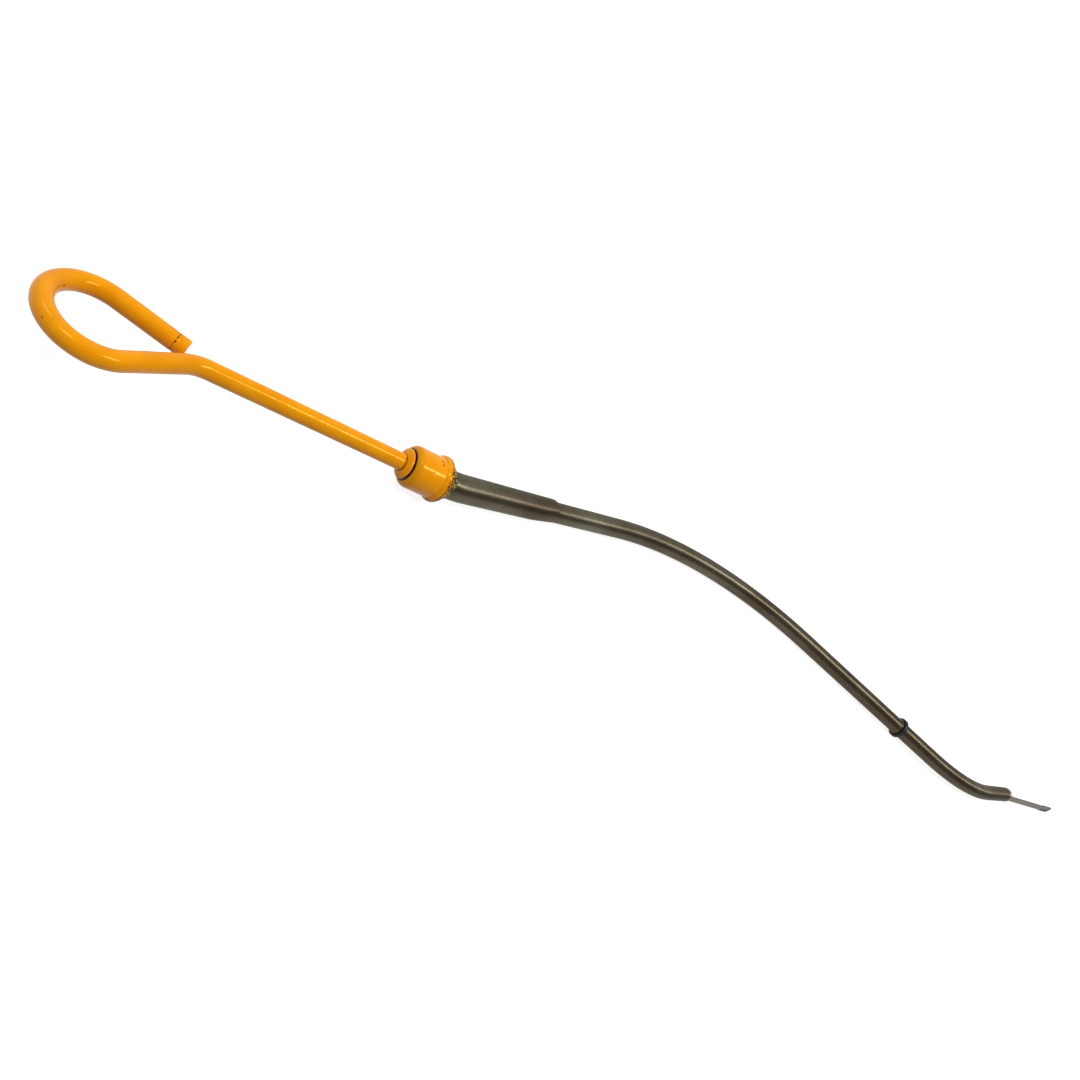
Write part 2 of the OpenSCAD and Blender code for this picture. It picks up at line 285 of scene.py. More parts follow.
class Plan:
    """The plane that all bends lie in, leaned over until rim, bow and seal ring touch the surface."""

    # Heading in degrees at which the bow touches the surface.
    BOW_CONTACT = -12.0

    def __init__(self, sizes: Sizes) -> None:
        """Works out the lean from the three contacts, and the shift from the frame's boxes.

        Args:
            sizes: The dipstick's sizes.
        """
        rows = sizes.guide_rows
        self.handle_start = Station(sizes.rod_tail, 0.0, math.pi)
        self.guide_start = Station(-sizes.socket, 0.0, 0.0)
        bow_start = after(self.guide_start, rows[:1]).ahead(rows[1].straight)
        bow = bow_start.round(rows[1], math.radians(self.BOW_CONTACT) - bow_start.heading)
        seal = after(self.guide_start, rows[:2]).ahead(sizes.ring_at)
        rim = Vector((-sizes.rim_bead_r, 0.0, sizes.rim_r))
        along_bow = Vector((bow.x, bow.y, sizes.lower_r)) - rim
        along_seal = Vector((seal.x, seal.y, sizes.ring_r)) - rim
        face = along_bow.cross(along_seal)
        rise = Vector((-face.x / face.z, -face.y / face.z, 0.0))
        lean = Matrix.Rotation(math.asin(rise.length), 4, Vector((rise.y, -rise.x, 0.0)))
        loop = after(self.handle_start, sizes.handle_rows[:1]).ahead(sizes.leg_len)
        west = (lean @ loop.centre(sizes.handle_rows[1])).x - sizes.loop_r - sizes.rod_r
        north = (lean @ (bow_start.centre(rows[1]) + Vector((0.0, sizes.bow_r, 0.0)))).y + sizes.lower_r
        shift = Vector((
            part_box("handle_rod")[0].x - west * MM,
            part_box("lower_tube")[1].y - north * MM,
            (rim.z - rise.dot(rim)) * MM,
        ))
        self.matrix = Matrix.Translation(shift) @ Matrix.Scale(MM, 4) @ lean
        self.turn = lean.to_3x3()
        self.up = self.turn @ Vector((0.0, 0.0, 1.0))

    def place(self, x: float, y: float, z: float = 0.0) -> Vector:
        """Returns a plan point, given in mm, in the frame in metres."""
        return self.matrix @ Vector((x, y, z))


def add(tree: bpy.types.NodeTree, kind: str, links: Links | None = None,
        **settings: object) -> bpy.types.Node:
    """Adds a node with its settings and links.

    Args:
        tree: The node tree of a material or a modifier.
        kind: The node's type name.
        links: For each input, by name or number, a value, or what feeds it: an output socket, or a
            node whose first output does.
        **settings: Attributes of the node.

    Returns:
        The new node.
    """
    node = tree.nodes.new(kind)
    for name, value in settings.items():
        setattr(node, name, value)
    for key, value in (links or {}).items():
        if isinstance(value, bpy.types.Node):
            value = value.outputs[0]
        if isinstance(value, bpy.types.NodeSocket):
            tree.links.new(value, node.inputs[key])
        else:
            node.inputs[key].default_value = value
    return node


def span(side: str, ends: Span) -> Links:
    """Returns a Map Range node's two ends, on its From or its To side."""
    return {f"{side} Min": ends[0], f"{side} Max": ends[1]}


def colour(code: str) -> tuple[float, float, float, float]:
    """Turns an sRGB hex value such as "F29A10" to linear red, green, blue and alpha.

    Args:
        code: The six hex digits.

    Returns:
        The opaque linear colour.
    """
    channels = [int(code[i:i + 2], 16) / 255 for i in (0, 2, 4)]
    linear = [c / 12.92 if c <= 0.04045 else ((c + 0.055) / 1.055) ** 2.4 for c in channels]
    return (*linear, 1.0)


class Route:
    """A bent centreline, as a finely divided curve that pieces are laid along."""

    # Length of its divisions in mm, and the fewest of them in a straight and in a bend.
    PITCH = 0.5
    STRAIGHT_STEPS = 2
    BEND_STEPS = 8

    def __init__(self, name: str, plan: Plan, start: Station, rows: Sequence[Bend]) -> None:
        """Makes the curve object, which is taken away again by discard().

        Args:
            name: Name of the curve.
            plan: The plane that it lies in.
            start: Where it starts.
            rows: Its bend table.
        """
        points = [start]
        for row in rows:
            foot = points[-1]
            steps = max(self.STRAIGHT_STEPS, round(row.straight / self.PITCH))
            points += [foot.ahead(row.straight * (n + 1) / steps) for n in range(steps)]
            if row.turn:
                foot = points[-1]
                round_mm = length_of([Bend(0.0, row.radius, row.turn)])
                steps = max(self.BEND_STEPS, round(round_mm / self.PITCH))
                angle = math.radians(row.turn) / steps
                points += [foot.round(row, angle * (n + 1)) for n in range(steps)]
        curve = bpy.data.curves.new(name, "CURVE")
        curve.dimensions = "3D"
        spline = curve.splines.new("POLY")
        spline.points.add(len(points) - 1)
        for point, station in zip(spline.points, points):
            point.co = (*plan.place(station.x, station.y), 1.0)
        self.up = plan.up
        self.object = bpy.data.objects.new(name, curve)
        bpy.context.collection.objects.link(self.object)

    def discard(self) -> None:
        """Takes the curve away once every piece is laid."""
        bpy.data.objects.remove(self.object)


class NodesTool:
    """A Geometry Nodes tree with named inputs, which is run on a piece and baked."""

    def __init__(self, name: str, inputs: dict[str, str], output: str) -> None:
        """Makes the tree with its inputs and its output.

        Args:
            name: Name of the tree.
            inputs: The kind of each input, by the input's name. The first is the piece.
            output: Name of the geometry that it gives.
        """
        self.tree = bpy.data.node_groups.new(name, "GeometryNodeTree")
        faces = self.tree.interface
        self.sockets = {
            key: faces.new_socket(key, in_out="INPUT", socket_type=f"NodeSocket{kind}").identifier
            for key, kind in inputs.items()
        }
        faces.new_socket(output, in_out="OUTPUT", socket_type="NodeSocketGeometry")
        self.given = add(self.tree, "NodeGroupInput").outputs

    def close(self, geometry: bpy.types.Node) -> None:
        """Ends the tree with real geometry that has the finish on it.

        Args:
            geometry: The node that gives the geometry.
        """
        real = add(self.tree, "GeometryNodeRealizeInstances", {"Geometry": geometry})
        dressed = add(self.tree, "GeometryNodeSetMaterial", {
            "Geometry": real, "Material": self.given["Finish"],
        })
        add(self.tree, "NodeGroupOutput", {0: dressed})

    def run(self, piece: bpy.types.Object, values: dict[str, object]) -> None:
        """Runs the tree on a piece and leaves a plain mesh.

        Args:
            piece: The piece.
            values: The tree's other inputs, by name.
        """
        modifier = piece.modifiers.new(self.tree.name, "NODES")
        modifier.node_group = self.tree
        for name, value in values.items():
            modifier[self.sockets[name]] = value
        bake(piece)


class LayAlong(NodesTool):
    """Geometry Nodes tree that lays a straight piece along a route, with an uneven skin."""

    WAVE_DETAIL = 2.0

    def __init__(self) -> None:
        """Builds the tree once, for all pieces."""
        super().__init__("lay_along_route", {
            "Piece": "Geometry", "Route": "Object", "Up": "Vector", "Skin depth": "Float",
            "Skin wave": "Float", "Finish": "Material",
        }, "Laid")
        tree, given = self.tree, self.given
        place = add(tree, "GeometryNodeInputPosition")
        kept = add(tree, "GeometryNodeStoreNamedAttribute", {
            "Geometry": given["Piece"], "Name": STRAIGHT, "Value": place,
        }, data_type="FLOAT_VECTOR", domain="POINT")
        wave = add(tree, "ShaderNodeTexNoise", {
            "Vector": place, "Scale": given["Skin wave"], "Detail": self.WAVE_DETAIL,
        })
        level = add(tree, "ShaderNodeMath", {0: wave, 1: 0.5}, operation="SUBTRACT")
        depth = add(tree, "ShaderNodeMath", {0: level, 1: given["Skin depth"]}, operation="MULTIPLY")
        normal = add(tree, "GeometryNodeInputNormal").outputs["Normal"]
        swell = add(tree, "ShaderNodeVectorMath", {0: normal, "Scale": depth}, operation="SCALE")
        uneven = add(tree, "ShaderNodeVectorMath", {0: place, 1: swell}, operation="ADD")
        parts = add(tree, "ShaderNodeSeparateXYZ", {0: uneven}).outputs
        route = add(tree, "GeometryNodeObjectInfo", {"Object": given["Route"]}, transform_space="ORIGINAL")
        at = add(tree, "GeometryNodeSampleCurve", {
            "Curves": route.outputs["Geometry"], "Length": parts["X"],
        }, mode="LENGTH").outputs
        side = add(tree, "ShaderNodeVectorMath", {
            0: given["Up"], 1: at["Tangent"],
        }, operation="CROSS_PRODUCT")
        unit = add(tree, "ShaderNodeVectorMath", {0: side}, operation="NORMALIZE")
        across = add(tree, "ShaderNodeVectorMath", {0: unit, "Scale": parts["Y"]}, operation="SCALE")
        rise = add(tree, "ShaderNodeVectorMath", {0: given["Up"], "Scale": parts["Z"]}, operation="SCALE")
        foot = add(tree, "ShaderNodeVectorMath", {0: at["Position"], 1: across}, operation="ADD")
        laid = add(tree, "ShaderNodeVectorMath", {0: foot, 1: rise}, operation="ADD")
        aimed = add(tree, "GeometryNodeStoreNamedAttribute", {
            "Geometry": kept, "Name": RUN, "Value": at["Tangent"],
        }, data_type="FLOAT_VECTOR", domain="POINT")
        self.close(add(tree, "GeometryNodeSetPosition", {"Geometry": aimed, "Position": laid}))

    def lay(self, piece: bpy.types.Object, route: Route, finish: "Finish", skin: float = 0.0,
            wave: float = 12.0) -> None:
        """Lays a straight piece along a route.

        Args:
            piece: The straight piece, in metres.
            route: Where it goes.
            finish: What it is finished with.
            skin: Depth of the skin's unevenness in mm.
            wave: Length of that unevenness in mm.
        """
        self.run(piece, {
            "Route": route.object, "Up": route.up, "Skin depth": skin * MM, "Skin wave": 1 / (wave * MM),
            "Finish": finish.material(),
        })


class ScatterFlakes(NodesTool):
    """Geometry Nodes tree that scatters flakes over a surface, flat on it and turned at random."""

    def __init__(self) -> None:
        """Builds the tree."""
        super().__init__("scatter_flakes", {
            "Skin": "Geometry", "Flake": "Object", "Per square metre": "Float", "Smallest": "Float",
            "Largest": "Float", "Seed": "Int", "Finish": "Material",
        }, "Flakes")
        tree, given = self.tree, self.given
        spread = add(tree, "GeometryNodeDistributePointsOnFaces", {
            "Mesh": given["Skin"], "Density": given["Per square metre"], "Seed": given["Seed"],
        }).outputs
        spin = add(tree, "FunctionNodeRandomValue", {
            LEAST: 0.0, MOST: 2 * math.pi, "Seed": given["Seed"],
        }).outputs[DRAWN]
        about = add(tree, "ShaderNodeCombineXYZ", {"Z": spin})
        turn = add(tree, "FunctionNodeRotateRotation", {
            "Rotation": spread["Rotation"], "Rotate By": about,
        }, rotation_space="LOCAL")
        size = add(tree, "FunctionNodeRandomValue", {
            LEAST: given["Smallest"], MOST: given["Largest"], "Seed": given["Seed"],
        }).outputs[DRAWN]
        flake = add(tree, "GeometryNodeObjectInfo", {"Object": given["Flake"]}, transform_space="ORIGINAL")
        self.close(add(tree, "GeometryNodeInstanceOnPoints", {
            "Points": spread["Points"], "Instance": flake.outputs["Geometry"],
            "Rotation": turn, "Scale": size,
        }))


def bake(piece: bpy.types.Object) -> None:
    """Turns a piece's modifiers into a plain mesh.

    Args:
        piece: The piece, which keeps its name.
    """
    seen = piece.evaluated_get(bpy.context.evaluated_depsgraph_get())
    mesh = bpy.data.meshes.new_from_object(seen)
    old = piece.data
    piece.modifiers.clear()
    piece.data = mesh
    mesh.name = piece.name
    bpy.data.meshes.remove(old)


def arc(x: float, r: float, radius: float, first: float, last: float, steps: int = 8) -> Profile:
    """Gives the points of a round stretch of a profile.

    Args:
        x: Centre, along the route, in mm.
        r: Centre, out from the route, in mm.
        radius: Radius of the arc in mm.
        first: Starting angle in degrees, with 0 along the route and 90 outwards.
        last: Ending angle in degrees.
        steps: Number of stretches.

    Returns:
        The profile's points, both ends included.
    """
    angles = [math.radians(first + (last - first) * n / steps) for n in range(steps + 1)]
    return [(x + radius * math.cos(a), r + radius * math.sin(a)) for a in angles]


def divided(profile: Profile, pitch: float) -> Profile:
    """Divides the long edges of a closed profile, so that it bends smoothly.

    Args:
        profile: The profile's points in mm.
        pitch: The longest edge along the route in mm.

    Returns:
        The profile with the points added.
    """
    points = []
    for (x0, r0), (x1, r1) in zip(profile, profile[1:] + profile[:1]):
        steps = max(1, math.ceil(abs(x1 - x0) / pitch))
        points += [(x0 + (x1 - x0) * n / steps, r0 + (r1 - r0) * n / steps) for n in range(steps)]
    return points


def hoop(shape: bmesh.types.BMesh, x: float, r: float, around: int) -> list[bmesh.types.BMVert]:
    """Adds one round of points about the X axis, or a single point on it.

    Args:
        shape: The mesh.
        x: Distance along the axis in mm.
        r: Radius in mm.
        around: Number of points.

    Returns:
        The points in order, the same one each time where it is on the axis.
    """
    if r < ON_AXIS_MM:
        return [shape.verts.new((x * MM, 0.0, 0.0))] * around
    angles = [2 * math.pi * n / around for n in range(around)]
    return [shape.verts.new((x * MM, r * MM * math.cos(a), r * MM * math.sin(a))) for a in angles]


def turned(name: str, profile: Profile, around: int = 64, sharp: float = 32.0) -> bpy.types.Object:
    """Turns a closed profile round the X axis.

    Args:
        name: Name of the piece.
        profile: Points of distance and radius in mm, in order round the section.
        around: Number of facets round the axis.
        sharp: Edges that turn by more than this many degrees stay sharp.

    Returns:
        The straight piece, in metres, with its faces outwards.
    """
    shape = bmesh.new()
    rings = [hoop(shape, x, r, around) for x, r in profile]
    for ring, following in zip(rings, rings[1:] + rings[:1]):
        for n in range(around):
            m = (n + 1) % around
            corners = list(dict.fromkeys([ring[n], ring[m], following[m], following[n]]))
            if len(corners) > 2:
                shape.faces.new(corners)
    bmesh.ops.recalc_face_normals(shape, faces=shape.faces)
    if shape.calc_volume(signed=True) < 0.0:
        bmesh.ops.reverse_faces(shape, faces=shape.faces)
    for face in shape.faces:
        face.smooth = True
    for edge in shape.edges:
        edge.smooth = edge.calc_face_angle(0.0) < math.radians(sharp)
    return linked(name, shape)


def open_band(name: str, first: Span, last: Span, around: int) -> bpy.types.Object:
    """Turns one open edge round the X axis.

    Args:
        name: Name of the surface.
        first: Distance and radius of one end in mm.
        last: Distance and radius of the other end in mm.
        around: Number of facets round the axis.

    Returns:
        The surface, facing outwards, in metres.
    """
    shape = bmesh.new()
    low, high = (hoop(shape, x, r, around) for x, r in (first, last))
    for n in range(around):
        m = (n + 1) % around
        shape.faces.new((low[n], high[n], high[m], low[m]))
    return linked(name, shape)


def cut(piece: bpy.types.Object, cutters: Sequence[bpy.types.Object]) -> None:
    """Cuts blocks out of a piece and takes the blocks away.

    Args:
        piece: The piece.
        cutters: The blocks, which are used up.
    """
    for cutter in cutters:
        modifier = piece.modifiers.new("cut", "BOOLEAN")
        modifier.operation = "DIFFERENCE"
        modifier.solver = "EXACT"
        modifier.object = cutter
    bake(piece)
    for cutter in cutters:
        bpy.data.objects.remove(cutter)


def linked(name: str, shape: bmesh.types.BMesh) -> bpy.types.Object:
    """Turns a bmesh into an object of the scene.

    Args:
        name: Name of the object and its mesh.
        shape: The bmesh, which is used up.

    Returns:
        The object.
    """
    mesh = bpy.data.meshes.new(name)
    shape.to_mesh(mesh)
    shape.free()
    piece = bpy.data.objects.new(name, mesh)
    bpy.context.collection.objects.link(piece)
    return piece


def sway(piece: bpy.types.Object, at: float, reach: float, depth: float, per_metre: float) -> None:
    """Lets an edge that runs round a piece wander along it.

    Args:
        piece: The straight piece.
        at: Place of the edge in mm. Points before it and after it move less and less.
        reach: How far from the edge points still move, in mm.
        depth: How far they move at most, in mm.
        per_metre: How many times the edge turns back in a metre.
    """
    for vertex in piece.data.vertices:
        near = 1.0 - abs(vertex.co.x - at * MM) / (reach * MM)
        if near > 0.0:
            spot = Vector((0.0, vertex.co.y, vertex.co.z)) * per_metre
            vertex.co.x += depth * MM * near * wander.noise(spot)


@dataclass(frozen=True)
class Ring:
    """A ring of colour round a piece, for dirt, wear, painted shade and painted highlights, with its place
    and half its width in mm along the route.
    """

    at: float
    half: float
    hue: str
    patchy: float = 0.5


@dataclass(frozen=True)
class Chip:
    """A small patch of colour, for chips, stains and painted shadow, with its straight place and its radius
    in mm.
    """

    place: Point
    radius: float
    hue: str


@dataclass(frozen=True)
class Finish:
    """A material, made once for each name. Rings and chips are laid over its own colour."""

    name: str = "finish"
    rings: tuple[Ring, ...] = ()
    chips: tuple[Chip, ...] = ()
    ragged_mm: float = 1.1

    # Where a mark fades out and is full, in parts of its own size, and how sharply it breaks up.
    RING_FADE = (1.4, 0.6)
    CHIP_FADE = (1.55, 1.2)
    BREAK = 0.06

    def material(self) -> bpy.types.Material:
        """Makes the material, or finds it again.

        Returns:
            The material, with its shader fed by what dress() gives.
        """
        if self.name in bpy.data.materials:
            return bpy.data.materials[self.name]
        made = bpy.data.materials.new(self.name)
        made.use_nodes = True
        tree = made.node_tree
        tree.nodes.clear()
        shader = add(tree, "ShaderNodeBsdfPrincipled", self.dress(tree))
        add(tree, "ShaderNodeOutputMaterial", {"Surface": shader})
        return made

    def dress(self, tree: bpy.types.NodeTree) -> Links:
        """Builds the finish's nodes and returns what goes into the shader's inputs."""
        raise NotImplementedError

    def clouds(self, tree: bpy.types.NodeTree, size_mm: float, drawn: float = 1.0,
               detail: float = 3.0) -> bpy.types.Node:
        """Makes a cloudy pattern that follows a laid piece.

        Args:
            tree: The material's tree.
            size_mm: Size of the clouds in mm.
            drawn: How much they are drawn out along the piece, below 1 for longer.
            detail: Number of finer layers.

        Returns:
            The node, whose first output is about 0.5 on average.
        """
        place = add(tree, "ShaderNodeAttribute", attribute_name=STRAIGHT).outputs["Vector"]
        long = add(tree, "ShaderNodeVectorMath", {0: place, 1: (drawn, 1.0, 1.0)}, operation="MULTIPLY")
        return add(tree, "ShaderNodeTexNoise", {
            "Vector": long, "Scale": 1 / (size_mm * MM), "Detail": detail,
        })

    def marked(self, tree: bpy.types.NodeTree, hue: bpy.types.NodeSocket) -> bpy.types.NodeSocket:
        """Lays the rings and chips over a colour.

        Args:
            tree: The material's tree.
            hue: The clean colour.

        Returns:
            The colour with its dirt, wear, painted shade and painted highlights.
        """
        place = add(tree, "ShaderNodeAttribute", attribute_name=STRAIGHT).outputs["Vector"]
        along = add(tree, "ShaderNodeSeparateXYZ", {0: place}).outputs["X"]
        ragged = add(tree, "ShaderNodeTexNoise", {
            "Vector": place, "Scale": 1 / (self.ragged_mm * MM), "Detail": 3.0,
        })
        for ring in self.rings:
            off = add(tree, "ShaderNodeMath", {0: along, 1: ring.at * MM}, operation="SUBTRACT")
            gap = add(tree, "ShaderNodeMath", {0: off}, operation="ABSOLUTE")
            fade = tuple(ring.half * share * MM for share in self.RING_FADE)
            band = add(tree, "ShaderNodeMapRange", {"Value": gap, **span("From", fade)})
            breaks = (ring.patchy - self.BREAK, ring.patchy + self.BREAK)
            left = add(tree, "ShaderNodeMapRange", {"Value": ragged, **span("From", breaks)})
            both = add(tree, "ShaderNodeMath", {0: band, 1: left}, operation="MULTIPLY")
            hue = add(tree, "ShaderNodeMix", {
                SHARE: both, FIRST: hue, SECOND: colour(ring.hue),
            }, data_type="RGBA").outputs[BLENDED]
        for chip in self.chips:
            spot = [value * MM for value in chip.place]
            far = add(tree, "ShaderNodeVectorMath", {0: place, 1: spot}, operation="DISTANCE")
            frayed = add(tree, "ShaderNodeMath", {
                0: ragged, 1: chip.radius * MM, 2: far.outputs["Value"],
            }, operation="MULTIPLY_ADD")
            fade = tuple(chip.radius * share * MM for share in self.CHIP_FADE)
            part = add(tree, "ShaderNodeMapRange", {"Value": frayed, **span("From", fade)})
            hue = add(tree, "ShaderNodeMix", {
                SHARE: part, FIRST: hue, SECOND: colour(chip.hue),
            }, data_type="RGBA").outputs[BLENDED]
        return hue


@dataclass(frozen=True)
class BrushedEnamel(Finish):
    """Gloss machinery enamel, brushed on thick: it gives narrow, slightly broken highlights."""

    name: str = "brushed_enamel"
    body: str = "F59E09"
    thin: str = "EC9407"
    glint: str = "FFDE6C"
    gloss: float = 0.34
    rough: Span = (0.13, 0.22)
    lap_mm: float = 8.0
    lap_drawn: float = 0.6
    lap_span: Span = (0.38, 0.66)
    # Real brush marks are finer. They are as coarse as they need to be to break the highlights.
    brush_mm: float = 1.4
    brush_drawn: float = 0.22
    brush_share: float = 0.35
    brush_deep_mm: float = 0.12

    def dress(self, tree: bpy.types.NodeTree) -> Links:
        """Mixes full and thin paint in soft laps over a brushed bump, with the dirt and painted shade on top.

        Args:
            tree: The material's tree.

        Returns:
            What goes into the shader's inputs.
        """
        lap = self.clouds(tree, self.lap_mm, self.lap_drawn)
        laps = add(tree, "ShaderNodeMapRange", {"Value": lap, **span("From", self.lap_span)})
        paint = add(tree, "ShaderNodeMix", {
            SHARE: laps, FIRST: colour(self.body), SECOND: colour(self.thin),
        }, data_type="RGBA").outputs[BLENDED]
        brushed = self.clouds(tree, self.brush_mm, self.brush_drawn)
        bump = add(tree, "ShaderNodeBump", {
            "Height": brushed, "Strength": self.brush_share, "Distance": self.brush_deep_mm * MM,
        })
        rough = add(tree, "ShaderNodeMapRange", {"Value": brushed, **span("To", self.rough)})
        return {
            "Base Color": self.marked(tree, paint), "Normal": bump, "Roughness": rough,
            "Specular Tint": colour(self.glint), "Specular IOR Level": self.gloss,
        }


@dataclass(frozen=True)
class OiledSteel(Finish):
    """Drawn steel tube, rubbed round with an oily rag: dark, with one pale grainy streak all along it."""

    name: str = "oiled_drawn_steel"
    steel: str = "77715F"
    film: str = "5A4F3F"
    sludge: str = "211B13"
    rough: Span = (0.36, 0.5)
    rubbed: float = 0.85
    detail: float = 4.0
    film_mm: float = 30.0
    film_drawn: float = 0.5
    film_span: Span = (0.38, 0.68)
    # The tube darkens towards the film's colour from the first of these places along the tube to the second.
    darkening_reach_mm: Span = (150.0, 420.0)
    darkening_share: float = 0.2
    # Real pits are finer. They are as coarse as they need to be to make the streak grainy.
    grain_mm: float = 0.8
    grain_drawn: float = 0.7
    grain_share: float = 0.3
    grain_deep_mm: float = 0.12
    pit_span: Span = (0.42, 0.3)
    pit_share: float = 0.6
    bore_r: float = 5.6
    bore_edge: float = 0.1

    def dress(self, tree: bpy.types.NodeTree) -> Links:
        """Mixes steel and oil film in long patches, with a pitted grain, and blackens the bore.

        Args:
            tree: The material's tree.

        Returns:
            What goes into the shader's inputs.
        """
        sludge = colour(self.sludge)
        place = add(tree, "ShaderNodeAttribute", attribute_name=STRAIGHT).outputs["Vector"]
        along = add(tree, "ShaderNodeSeparateXYZ", {0: place}).outputs["X"]
        # Darkens the tube towards the film's colour further along it.
        reach = tuple(value * MM for value in self.darkening_reach_mm)
        more = add(tree, "ShaderNodeMapRange", {
            "Value": along, **span("From", reach), "To Max": self.darkening_share,
        })
        patches = self.clouds(tree, self.film_mm, self.film_drawn, self.detail)
        cloud = add(tree, "ShaderNodeMath", {0: patches, 1: more}, operation="ADD")
        film = add(tree, "ShaderNodeMapRange", {"Value": cloud, **span("From", self.film_span)})
        steel = add(tree, "ShaderNodeMix", {
            SHARE: film, FIRST: colour(self.steel), SECOND: colour(self.film),
        }, data_type="RGBA").outputs[BLENDED]
        grain = self.clouds(tree, self.grain_mm, self.grain_drawn, self.detail)
        pits = add(tree, "ShaderNodeMapRange", {
            "Value": grain, **span("From", self.pit_span), "To Max": self.pit_share,
        })
        pitted = add(tree, "ShaderNodeMix", {
            SHARE: pits, FIRST: steel, SECOND: sludge,
        }, data_type="RGBA").outputs[BLENDED]
        flat = add(tree, "ShaderNodeVectorMath", {0: place, 1: (0.0, 1.0, 1.0)}, operation="MULTIPLY")
        radius = add(tree, "ShaderNodeVectorMath", {0: flat}, operation="LENGTH").outputs["Value"]
        edge = ((self.bore_r + self.bore_edge) * MM, self.bore_r * MM)
        inside = add(tree, "ShaderNodeMapRange", {"Value": radius, **span("From", edge)})
        hue = add(tree, "ShaderNodeMix", {
            SHARE: inside, FIRST: self.marked(tree, pitted), SECOND: sludge,
        }, data_type="RGBA").outputs[BLENDED]
        bump = add(tree, "ShaderNodeBump", {
            "Height": grain, "Strength": self.grain_share, "Distance": self.grain_deep_mm * MM,
        })
        return {
            "Base Color": hue, "Normal": bump, "Metallic": 1.0, "Anisotropic": self.rubbed,
            "Roughness": add(tree, "ShaderNodeMapRange", {"Value": grain, **span("To", self.rough)}),
            "Tangent": add(tree, "ShaderNodeAttribute", attribute_name=RUN).outputs["Vector"],
        }


@dataclass(frozen=True)
class AgedRubber(Finish):
    """Black moulded rubber, dulled with age: a faint grey bloom and hardly any gloss."""

    name: str = "aged_black_rubber"
    black: str = "0B0A0A"
    bloom: str = "1B1A19"
    gloss: float = 0.3
    rough: float = 0.5
    bloom_mm: float = 2.5
    bloom_detail: float = 4.0
    # The real mould grain is finer, and wouldn't show.
    grain_mm: float = 0.75
    grain_share: float = 0.4
    grain_deep_mm: float = 0.1

    def dress(self, tree: bpy.types.NodeTree) -> Links:
        """Mixes black and grey bloom over a fine mould grain.

        Args:
            tree: The material's tree.

        Returns:
            What goes into the shader's inputs.
        """
        cloud = self.clouds(tree, self.bloom_mm, detail=self.bloom_detail)
        hue = add(tree, "ShaderNodeMix", {
            SHARE: cloud, FIRST: colour(self.black), SECOND: colour(self.bloom),
        }, data_type="RGBA").outputs[BLENDED]
        bump = add(tree, "ShaderNodeBump", {
            "Height": self.clouds(tree, self.grain_mm), "Strength": self.grain_share,
            "Distance": self.grain_deep_mm * MM,
        })
        return {
            "Base Color": self.marked(tree, hue), "Normal": bump, "Roughness": self.rough,
            "Specular IOR Level": self.gloss,
        }


@dataclass(frozen=True)
class StrayEnamel(Finish):
    """Dry flakes of stray enamel on oily rubber: matt, gone from orange to yellow-green."""

    name: str = "stray_enamel"
    fresh: str = "D9B43A"
    stained: str = "8B8A33"
    gloss: float = 0.3
    rough: float = 0.6
    patch_mm: float = 1.6
    patch_span: Span = (0.4, 0.6)

    def dress(self, tree: bpy.types.NodeTree) -> Links:
        """Mixes fresh and stained flakes by their place.

        Args:
            tree: The material's tree.

        Returns:
            What goes into the shader's inputs.
        """
        place = add(tree, "ShaderNodeTexCoord").outputs["Object"]
        cloud = add(tree, "ShaderNodeTexNoise", {
            "Vector": place, "Scale": 1 / (self.patch_mm * MM), "Detail": 2.0,
        })
        share = add(tree, "ShaderNodeMapRange", {"Value": cloud, **span("From", self.patch_span)})
        hue = add(tree, "ShaderNodeMix", {
            SHARE: share, FIRST: colour(self.fresh), SECOND: colour(self.stained),
        }, data_type="RGBA").outputs[BLENDED]
        return {"Base Color": hue, "Roughness": self.rough, "Specular IOR Level": self.gloss}


